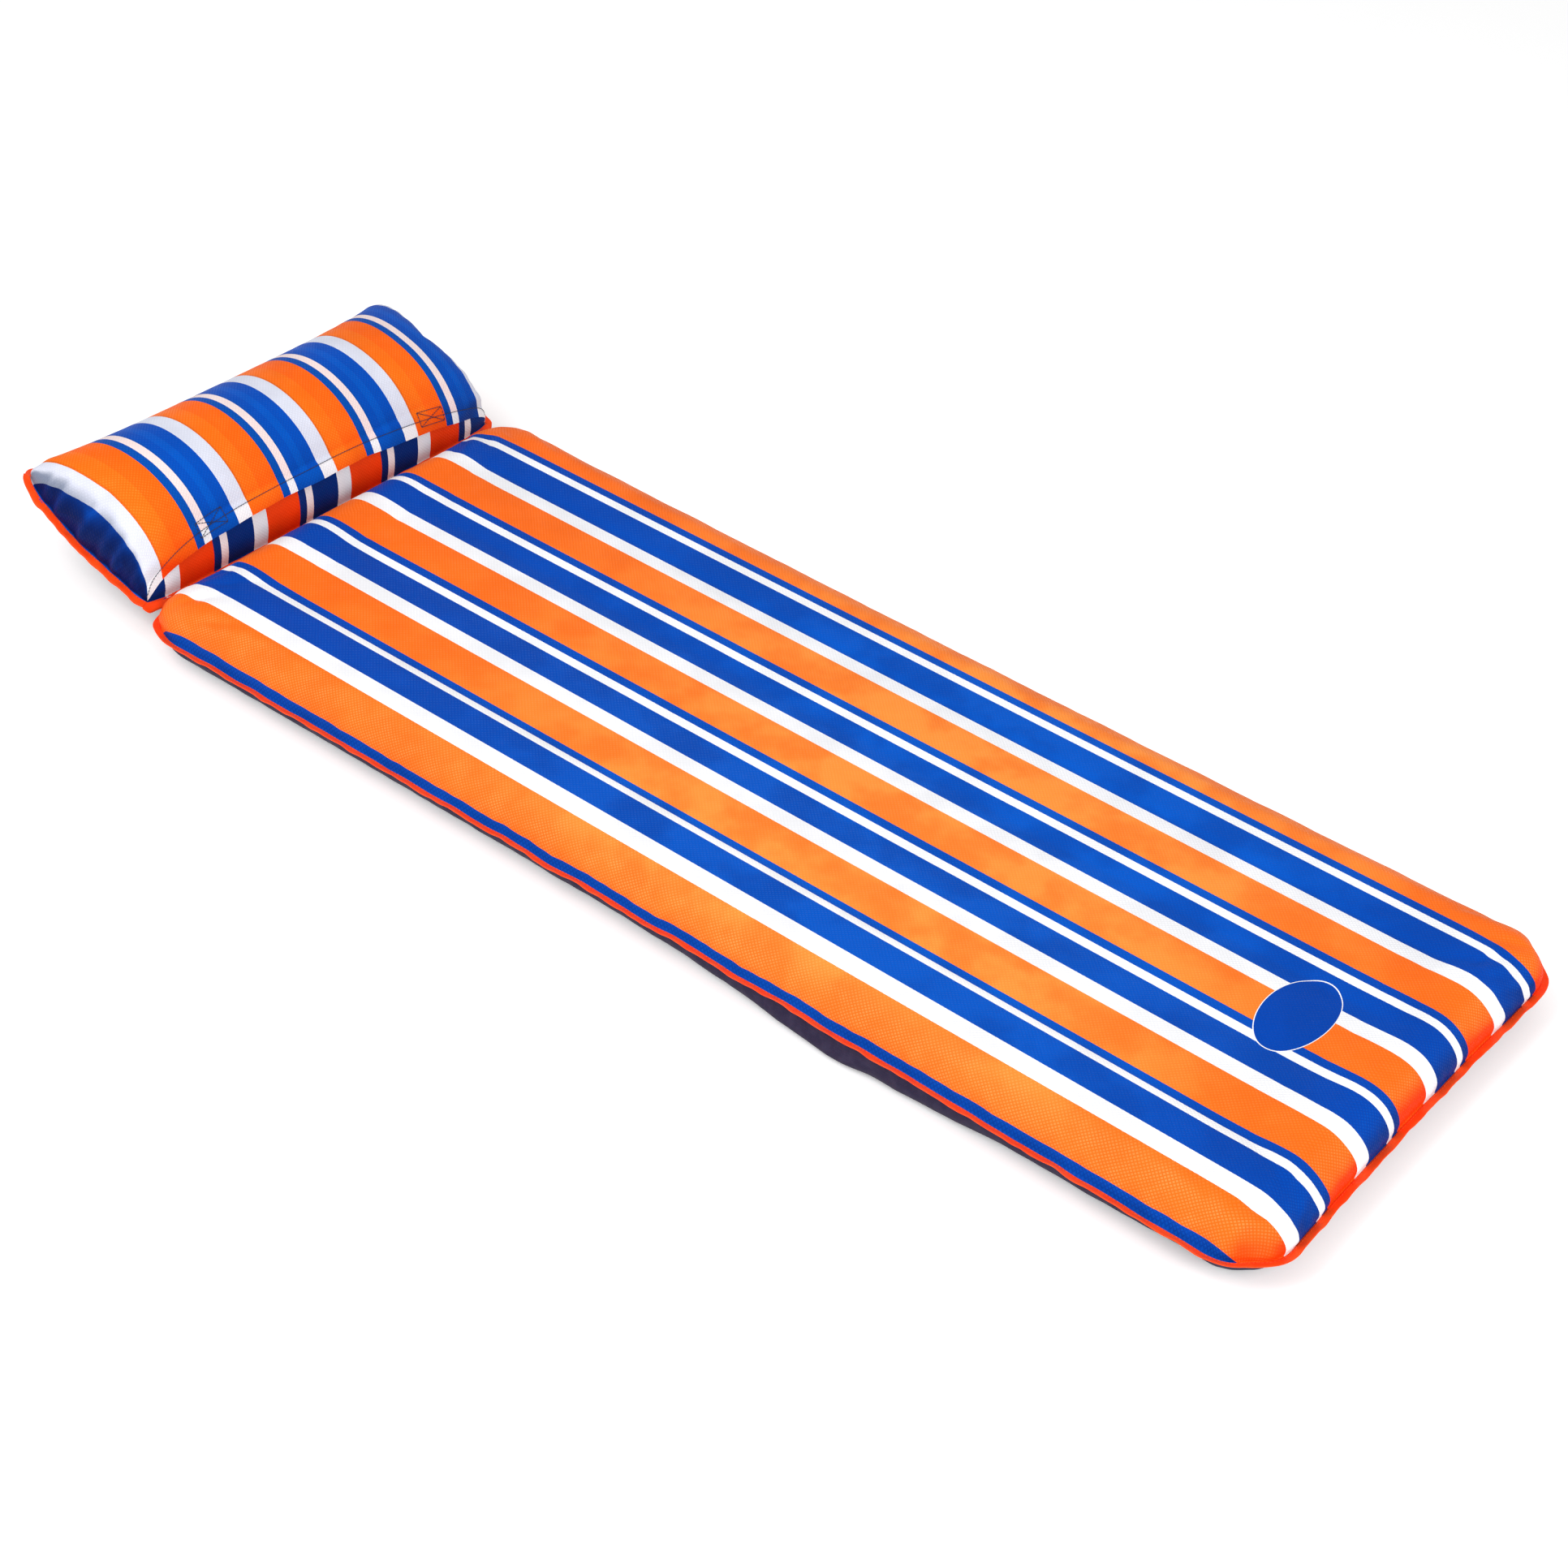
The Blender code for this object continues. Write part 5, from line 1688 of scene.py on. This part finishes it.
    def outward(self, border: np.ndarray) -> np.ndarray:
        """Return the directions away from the pillow along its border."""
        ahead = np.roll(border, -3, axis=0) - np.roll(border, 3, axis=0)
        out = np.column_stack([ahead[:, 1], -ahead[:, 0], np.zeros(len(ahead))])
        return unit(out)

    def panel(self, name: str, net: np.ndarray, cloth: np.ndarray, keep: np.ndarray, lift: float,
              face: Face) -> bpy.types.Object:
        """Make a panel with its seam allowance.

        Args:
            name: the piece's name.
            net: its net of points.
            cloth: their places in the print.
            keep: which cells of the net it has.
            lift: how far its allowance lies from the seam plane.
            face: which way it looks.

        Returns:
            The piece.
        """
        rows, columns = net.shape[:2]
        faces = net_faces(rows, columns)[keep.ravel()]
        border_cells = np.arange(rows * columns).reshape(rows, columns)
        border = self.outline(border_cells[..., None])[:, 0]
        points = net.reshape(-1, 3)
        edge = points[border]
        outside = edge + self.outward(edge) * self.allowance
        outside[:, 2] = edge[:, 2] + lift
        count = len(border)
        grown = len(points) + np.arange(count)
        used = np.zeros(len(points), bool)
        used[faces.ravel()] = True
        strip = np.stack([border, grown, np.roll(grown, -1), np.roll(border, -1)], axis=1)
        strip = strip[used[border] & np.roll(used[border], -1)]
        flat = np.concatenate([cloth.reshape(-1, 2), cloth.reshape(-1, 2)[border]])
        faces = np.concatenate([faces, strip])
        if face is Face.LOWER:
            faces = faces[:, ::-1]
        points = np.concatenate([points, outside])
        kept = np.unique(faces)
        renumber = np.zeros(len(points), int)
        renumber[kept] = np.arange(len(kept))
        piece = new_piece(name, self.form.placed(points[kept]), renumber[faces], flat[faces.ravel()])
        self.mark_hem(piece, flat[kept])
        return piece

    def finish_panel(self, piece: bpy.types.Object, finish: object, node: str) -> bpy.types.Object:
        """Dress a panel and fix it to the pillow."""
        if isinstance(finish, PrintedCloth):
            mark_cloth(piece, *self.shade_and_sheen)
        finer(piece)
        self.finishes.dress(piece, finish)
        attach(piece, "pillow")
        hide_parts(node)
        return piece

    def flared(self, net: np.ndarray) -> np.ndarray:
        """Return the outer net, drawn up at its hem, with the loose edge standing out."""
        net = self.drawn_up(net)
        normals = net_normals(net)
        across = self.across / math.sin(self.form.flap_end_angle)
        for row in range(self.hem_row, self.fold_row):
            share = ((self.fold_row - row) / (self.fold_row - self.hem_row)) ** self.flare_ease
            over = 1 - np.clip(np.abs(across), 0, 1) ** 4
            scallop = 1 + 0.35 * wander(self.cloth_across, [(0.150, 1.0), (0.071, 0.4)], 61)
            net[row] += normals[row] * (self.flap_flare * share * over * scallop)[:, None]
        return net

    def make_covers(self) -> tuple:
        """Make the inner, outer and back covers and the flap, and return them with the upper net."""
        upper = self.creased(self.blown(Face.UPPER), 51)
        lower = self.blown(Face.LOWER)
        normals = net_normals(upper)
        rows, columns = upper.shape[:2]
        cells = np.ones((rows - 1, columns - 1), bool)
        depth = np.interp(np.arange(rows), [0, self.hem_row, self.fold_row + 6, rows - 8, rows - 1],
                          [0.0, 0.0012, 0.0035, 0.0035, 0.0])[:, None]
        to_end = np.minimum(np.arange(columns), columns - 1 - np.arange(columns)) / 6
        depth = depth * np.clip(to_end, 0, 1)[None]
        cloth = self.cloth()
        inner_net = upper - normals * depth[..., None]
        inner = self.panel("pillow_inner_cover", inner_net, cloth, cells, 0.0004, Face.UPPER)
        self.finish_panel(inner, INNER_PRINT, "pillow_inner_panel")
        outer_net = self.flared(upper)
        body = cells.copy()
        body[:self.hem_row] = False
        body[self.hem_row:self.fold_row, self.first_column:self.last_column] = False
        outer = self.panel("pillow_outer_cover", outer_net, self.drawn_up(cloth), body, 0.0008, Face.UPPER)
        self.finish_panel(outer, PILLOW_PRINT, "pillow_outer_panel")
        solid(outer, self.cloth_thickness)
        split_rim(outer)
        back = self.panel("pillow_back_cover", lower, cloth, cells, -0.0004, Face.LOWER)
        self.finish_panel(back, PLAIN_BACK, "pillow_back_panel")
        return [inner, outer, back, *self.make_flap(outer_net, inner_net)], upper

    def make_flap(self, net: np.ndarray, inner_net: np.ndarray) -> list[bpy.types.Object]:
        """Make the loose flap, its tabs and the stitches along the hem.

        Args:
            net: the outer net.
            inner_net: the inner cover's net.

        Returns:
            The pieces.
        """
        rows = slice(self.hem_row, self.fold_row + 2)
        columns = slice(self.first_column - 1, self.last_column + 2)
        part = (net + net_normals(net) * 0.00015)[rows, columns]
        cloth = self.drawn_up(self.cloth())[rows, columns]
        faces = net_faces(*part.shape[:2])
        flap = new_piece("pillow_front_flap", self.form.placed(part.reshape(-1, 3)), faces,
                         cloth.reshape(-1, 2)[faces.ravel()])
        mark_cloth(flap, *self.shade_and_sheen)
        self.mark_hem(flap, cloth.reshape(-1, 2))
        finer(flap)
        solid(flap, 0.0008)
        split_rim(flap)
        self.finishes.dress(flap, PILLOW_PRINT)
        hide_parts("pillow_flap")
        middle = part.shape[1] // 2
        bend = {"start": self.form.placed(part[-2, middle]), "end": self.form.placed(part[-7, middle])}
        moving, fixed = self.sew_flap(net)
        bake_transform(flap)
        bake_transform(moving)
        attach(fixed, "pillow")
        pieces = [flap, moving, fixed]
        for side, way in (("left", -1), ("right", 1)):
            loop = self.make_tab(f"loop_patch_{side}", way, inner_net, False)
            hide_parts(f"loop_tab_{side}")
            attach(loop, "pillow")
            hook = self.make_tab(f"hook_patch_{side}", way, net, True)
            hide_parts(f"hook_tab_{side}")
            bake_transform(hook)
            pieces += [loop, hook]
        return pieces

    def make_tab(self, name: str, way: int, net: np.ndarray, under: bool) -> bpy.types.Object:
        """Make a square of hook or loop tape behind a crossed box.

        Args:
            name: the piece's name.
            way: -1 for the left one, 1 for the right one.
            net: the net of the cover that carries it.
            under: whether it is sewn to the underside of the flap.

        Returns:
            The piece.
        """
        wide, high = self.patch[0], self.tab_height
        middle = way * self.patch_from_middle
        across = np.linspace(middle - wide / 2, middle + wide / 2, 12)
        low = self.hem_line(across) + self.patch_above_hem
        along = low[None] + np.linspace(0, high, 6)[:, None]
        stand_off = -0.0014 if under else 0.0010
        carrier = net + net_normals(net) * stand_off
        points = self.cloth_point(carrier, np.broadcast_to(across, along.shape).ravel(), along.ravel(), under)
        faces = net_faces(*along.shape)
        tab = new_piece(name, points, faces, None)
        solid(tab, self.tab_thickness, 0.0)
        self.finishes.dress(tab, FASTENER)
        return tab

    def cloth_point(self, net: np.ndarray, across: np.ndarray, along: np.ndarray, hemmed: bool) -> np.ndarray:
        """Return the points in space of places on the cloth.

        Args:
            net: the net they lie on.
            across: distances from the cloth's middle.
            along: distances from the front seam.
            hemmed: whether the net follows the hem's curve.

        Returns:
            The points, in the float's frame.
        """
        column = np.interp(across, self.cloth_across, np.arange(len(self.cloth_across)))
        row = self.row_at(across, along, hemmed)
        left = np.clip(np.floor(column).astype(int), 0, net.shape[1] - 2)
        low = np.clip(np.floor(row).astype(int), 0, net.shape[0] - 2)
        over = (column - left)[:, None]
        up = (row - low)[:, None]
        point = ((net[low, left] * (1 - over) + net[low, left + 1] * over) * (1 - up)
                 + (net[low + 1, left] * (1 - over) + net[low + 1, left + 1] * over) * up)
        return self.form.placed(point)

    def sew_flap(self, net: np.ndarray) -> list[bpy.types.Object]:
        """Sew the hem line over the flap and its fixed ends, and the crossed boxes that hold the tabs."""
        raised = net + net_normals(net) * 0.00045
        flap_ends = self.cloth_across[self.first_column], self.cloth_across[self.last_column]
        cover_ends = self.cloth_across[5], self.cloth_across[-6]

        def hem_stitches(start: float, end: float) -> np.ndarray:
            """Return the hem line's points between two places across."""
            across = np.linspace(start, end, 160)
            return self.cloth_point(raised, across, self.hem_line(across) + self.hem_band, True)

        lines = [hem_stitches(*flap_ends)]
        wide, high = self.patch
        for way in (-1, 1):
            middle = way * self.patch_from_middle
            box = [(-wide / 2, 0.0), (wide / 2, 0.0), (wide / 2, high), (-wide / 2, high)]
            for start, end in ((0, 1), (1, 2), (2, 3), (3, 0), (0, 2), (1, 3)):
                share = np.linspace(0, 1, 24)[:, None]
                path = np.array(box[start])[None] * (1 - share) + np.array(box[end])[None] * share
                across = middle + path[:, 0]
                along = self.hem_line(across) + self.patch_above_hem + path[:, 1]
                lines.append(self.cloth_point(raised, across, along, True))
        out = net_normals(net)[self.hem_row + 2, net.shape[1] // 2]
        up = (np.array(self.form.matrix())[:3, :3] @ out)[None]
        ends = [hem_stitches(cover_ends[0], flap_ends[0]), hem_stitches(flap_ends[1], cover_ends[1])]
        sewn = []
        for name, run in (("flap_stitches", lines), ("hem_end_stitches", ends)):
            thread = Stitches(name, 0.0036, 0.0004, 0.00055).sew(run, up)
            sewn.append(self.finishes.dress(thread, DARK_THREAD))
        return sewn

    def make_film(self) -> bpy.types.Object:
        """Make the pillow's air chamber, well inside the covers."""
        form = PillowForm(width=self.form.width - 0.020, depth=self.form.depth - 0.020,
                          crown=self.form.crown - 0.009, belly=self.form.belly - 0.009,
                          seam_ahead=self.form.seam_ahead + 0.010, floor_drop=self.form.floor_drop - 0.006,
                          cells_across=48, cells_along=26)
        places, _ = form.columns()
        steps, _ = form.rows()
        across, along = np.meshgrid(places, steps)
        upper = form.point(across, along, Face.UPPER)
        lower = form.point(across, along, Face.LOWER)
        faces = net_faces(*upper.shape[:2])
        points = np.concatenate([upper.reshape(-1, 3), lower.reshape(-1, 3)])
        faces = np.concatenate([faces, faces[:, ::-1] + upper.size // 3])
        film = new_piece("pillow_film", self.form.placed(points), faces, None)
        merge = film.modifiers.new("weld", "WELD")
        merge.merge_threshold = 0.0005
        self.finishes.dress(film, AIR_FILM)
        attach(film, "pillow")
        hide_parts("pillow_air_chamber")
        return film

    def build(self) -> list[bpy.types.Object]:
        """Build the pillow's pieces."""
        covers, upper = self.make_covers()
        border = self.outline(upper)
        path, out = border.copy(), self.outward(border)
        way = running(np.linalg.norm(np.roll(path, -1, axis=0) - path, axis=1))[:-1]
        path[:, 2] += wander(way, [(0.045, 0.0005), (0.026, 0.0003)], 71)
        turn = np.array(self.form.matrix())[:3, :3]
        binding = Binding("pillow_seam_binding", "pillow_binding", "pillow", 0.0011, 31, rumple=0.0006)
        droop = self.front_droop * eased((-out[:, 1] - 0.5) / 0.4)
        tape = binding.build(self.finishes, self.form.placed(path), out @ turn.T, turn[:, 2], droop)
        return [*covers, self.make_film(), *tape]


# Head tape and valves


@dataclass
class HeadTape:
    """The tape that joins the pillow to the mattress's head."""

    finishes: Finishes

    def build(self) -> list[bpy.types.Object]:
        """Build the tape, bent from the mattress's binding up to the pillow's."""
        low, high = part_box("pillow_hinge_tape")
        across = np.linspace(low.x, high.x, 90)
        path = np.array([(low.y, high.z + 0.0004), (low.y + 0.005, high.z + 0.0005),
                         (high.y - 0.0035, high.z + 0.0003), (high.y - 0.0012, high.z - 0.0012),
                         (high.y - 0.0004, (low.z + high.z) / 2), (high.y, low.z)])
        share = np.linspace(0, 1, 16)
        step = np.linspace(0, 1, len(path))
        section = np.stack([np.interp(share, step, line) for line in path.T], axis=1)
        net = np.zeros((len(section), len(across), 3))
        net[..., 0] = across[None]
        net[..., 1] = section[:, :1]
        net[..., 2] = section[:, 1:] + wander(across, [(0.06, 0.0002), (0.023, 0.00015)], 81)[None]
        way = running(np.linalg.norm(np.diff(section, axis=0), axis=1))
        faces = net_faces(*net.shape[:2])
        cloth = np.stack(np.meshgrid(across, way), axis=-1).reshape(-1, 2)
        tape = new_piece("head_tape", net.reshape(-1, 3), faces, cloth[faces.ravel()])
        solid(tape, 0.0005)
        self.finishes.dress(tape, BINDING_TAPE)
        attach(tape, "mattress")
        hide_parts("pillow_hinge_tape")
        return [tape]


@dataclass
class Valve:
    """An oral inflation valve: flanged neck, leaf and pull plug."""

    finishes: Finishes
    prefix: str
    point: tuple
    outward: tuple
    neck_radius: float = 0.0065
    bore_radius: float = 0.0045
    proud: float = 0.005
    flange_radius: float = 0.013
    flange_depth: float = 0.0046
    flange_thickness: float = 0.001
    film_cut: float = 0.018
    film_hole: float = 0.0115
    steps: int = 48

    def matrix(self) -> Matrix:
        """Return the valve's frame, Z out of the wall and X level."""
        out = Vector(self.outward).normalized()
        level = Vector((0.0, 0.0, 1.0)).cross(out).normalized()
        turn = Matrix((level, out.cross(level), out)).transposed().to_4x4()
        return Matrix.Translation(self.point) @ turn

    def let_into(self, film: bpy.types.Object) -> None:
        """Open a film round the valve and weld it to the flange.

        Args:
            film: the air chamber's film.
        """
        work = bmesh.new()
        work.from_mesh(film.data)
        into = self.matrix().inverted()
        cut = []
        for face in work.faces:
            middle = into @ face.calc_center_median()
            if math.hypot(middle.x, middle.y) < self.film_cut and abs(middle.z) < self.film_cut:
                cut.append(face)
        within = set(cut)
        rim = [edge for edge in work.edges if sum(near in within for near in edge.link_faces) == 1]
        bmesh.ops.delete(work, geom=cut, context="FACES")
        grown = bmesh.ops.extrude_edge_only(work, edges=[edge for edge in rim if edge.is_valid])["geom"]
        out = self.matrix()
        for vertex in (item for item in grown if isinstance(item, bmesh.types.BMVert)):
            place = into @ vertex.co
            turn = math.atan2(place.y, place.x)
            vertex.co = out @ Vector((self.film_hole * math.cos(turn), self.film_hole * math.sin(turn),
                                      -self.flange_depth + 0.0003))
        work.to_mesh(film.data)
        work.free()

    def turned(self, name: str, profile: list[tuple]) -> bpy.types.Object:
        """Turn a closed profile into a piece.

        Args:
            name: the piece's name.
            profile: pairs of a radius and a height.

        Returns:
            The piece.
        """
        angle = np.linspace(0, 2 * math.pi, self.steps, endpoint=False)
        rows = profile + profile[:1]
        net = np.array([[(radius * math.cos(turn), radius * math.sin(turn), height) for turn in angle]
                        for radius, height in rows])
        faces = net_faces(len(rows), self.steps, wrap=True)
        matrix = np.array(self.matrix())
        points = net.reshape(-1, 3) @ matrix[:3, :3].T + matrix[:3, 3]
        piece = new_piece(name, points, faces, None)
        weld = piece.modifiers.new("weld", "WELD")
        weld.merge_threshold = 0.00001
        bevel = piece.modifiers.new("rounded", "BEVEL")
        bevel.width = 0.0003
        bevel.segments = 3
        bevel.angle_limit = math.radians(40)
        return piece

    def build(self) -> list[bpy.types.Object]:
        """Build the neck with its rim, and dress the plug and the leaf."""
        foot = -self.flange_depth - self.flange_thickness
        top = foot + self.flange_thickness
        lip = self.neck_radius + 0.0004
        neck = self.turned(f"{self.prefix}_valve_neck", [
            (self.bore_radius, foot), (self.flange_radius, foot), (self.flange_radius, top),
            (self.neck_radius + 0.0012, top), (self.neck_radius, foot + 0.0022),
            (self.neck_radius, self.proud - 0.0012), (lip, self.proud - 0.0009), (lip, self.proud),
            (self.bore_radius, self.proud)])
        self.finishes.dress(neck, VALVE_VINYL)
        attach(neck, f"{self.prefix}")
        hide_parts(f"{self.prefix}_valve_body")
        for part in ("plug", "leaf"):
            self.finishes.dress(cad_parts[f"{self.prefix}_valve_{part}"], VALVE_VINYL)
        return [neck]


# The studio


@dataclass
class Studio:
    """A plain pale floor, soft lamps and the camera."""

    camera_place: tuple = (-2.3197, -1.7242, 2.2101)
    azimuth: float = math.radians(-54.589878)
    elevation: float = math.radians(37.569224)
    roll: float = math.radians(5.29993)
    lens: float = 68.586
    sensor: float = 36.0
    floor_reach: float = 14.0
    floor_glow: tuple = (0.22, 0.22, 0.22, 1.0)
    lamp_aim: tuple = (0.0, -0.1, 0.0)
    daylight: float = 0.66

    def make_camera(self) -> None:
        """Make the camera at the photograph's place and angle."""
        back = Vector((math.sin(self.azimuth) * math.cos(self.elevation),
                       -math.cos(self.azimuth) * math.cos(self.elevation), math.sin(self.elevation)))
        right = (-back).cross(Vector((0, 0, 1))).normalized()
        up = right.cross(-back)
        across = right * math.cos(self.roll) + up * math.sin(self.roll)
        above = up * math.cos(self.roll) - right * math.sin(self.roll)
        turn = Matrix((across, above, back)).transposed().to_4x4()
        data = bpy.data.cameras.new("camera")
        data.lens = self.lens
        data.sensor_width = self.sensor
        data.clip_end = 60.0
        camera = bpy.data.objects.new("camera", data)
        camera.matrix_world = Matrix.Translation(self.camera_place) @ turn
        bpy.context.scene.collection.objects.link(camera)
        bpy.context.scene.camera = camera

    def make_floor(self) -> None:
        """Make the pale floor, which takes the float's shadow."""
        points = self.floor_reach * np.array([(-1, -1, 0), (1, -1, 0), (1, 1, 0), (-1, 1, 0)], float)
        floor = new_piece("floor", points, np.array([[0, 1, 2, 3]]), None)
        material, desk, shader = start_material("pale_floor")
        tone = desk.spread(desk.noise(desk.piece_place(), 2.0), 0.0, 1.0, 0.93, 0.95)
        desk.feed(shader.inputs["Base Color"], desk.grey(tone))
        shader.inputs["Roughness"].default_value = 0.9
        shader.inputs["Specular IOR Level"].default_value = 0.1
        path = desk.add("ShaderNodeLightPath")
        lit = desk.mix(path.outputs["Is Camera Ray"], (0.0, 0.0, 0.0, 1.0), self.floor_glow)
        desk.feed(shader.inputs["Emission Color"], lit)
        shader.inputs["Emission Strength"].default_value = 1.0
        floor.data.materials.append(material)

    def make_lamp(self, name: str, place: tuple, size: float, power: float) -> None:
        """Make a square soft lamp that points at the float.

        Args:
            name: the lamp's name.
            place: where it hangs.
            size: its side.
            power: its power in watts.
        """
        data = bpy.data.lights.new(name, "AREA")
        data.size = size
        data.energy = power
        lamp = bpy.data.objects.new(name, data)
        lamp.location = place
        lamp.rotation_mode = "QUATERNION"
        lamp.rotation_quaternion = (Vector(self.lamp_aim) - Vector(place)).to_track_quat("-Z", "Y")
        bpy.context.scene.collection.objects.link(lamp)

    def make_world(self) -> None:
        """Make the even white surroundings."""
        world = bpy.data.worlds.new("surroundings")
        bpy.context.scene.world = world
        world.use_nodes = True
        desk = NodeDesk(world.node_tree)
        world.node_tree.nodes.clear()
        choose = desk.add("ShaderNodeMixShader")
        desk.feed(choose.inputs[0], desk.add("ShaderNodeLightPath").outputs["Is Camera Ray"])
        for index, strength in ((1, self.daylight), (2, 1.0)):
            white = desk.add("ShaderNodeBackground")
            white.inputs["Color"].default_value = (1.0, 1.0, 1.0, 1.0)
            white.inputs["Strength"].default_value = strength
            desk.feed(choose.inputs[index], white.outputs[0])
        output = desk.add("ShaderNodeOutputWorld")
        desk.feed(output.inputs["Surface"], choose.outputs[0])

    def build(self) -> None:
        """Build the studio."""
        self.make_camera()
        self.make_floor()
        self.make_world()
        self.make_lamp("key", (-2.6, 0.7, 2.9), 2.2, 80.0)
        self.make_lamp("fill", (-1.3, -3.4, 2.2), 2.6, 75.0)
        bpy.context.scene.view_settings.view_transform = "Standard"


def main() -> None:
    """Build the float and its studio, and report each piece."""
    logging.basicConfig(level=logging.INFO, format="%(name)s: %(message)s")
    finishes = Finishes()
    pieces = Mattress(finishes).build()
    pieces += Pillow(finishes).build()
    pieces += HeadTape(finishes).build()
    named = {piece.name: piece for piece in pieces}
    for prefix, point, outward in (
            ("mattress", (0.322399, 0.420815, 0.024917), (0.887422, 0.0, -0.460957)),
            ("pillow", (0.168749, 0.936577, 0.052266), (0.049743, 0.918841, -0.391481))):
        valve = Valve(finishes, prefix, point, outward)
        pieces += valve.build()
        valve.let_into(named[f"{prefix}_film"])
    for piece in pieces:
        LOG.info("%s: %d faces", piece.name, len(piece.data.polygons))
    Studio().build()


if __name__ == "__main__":
    main()
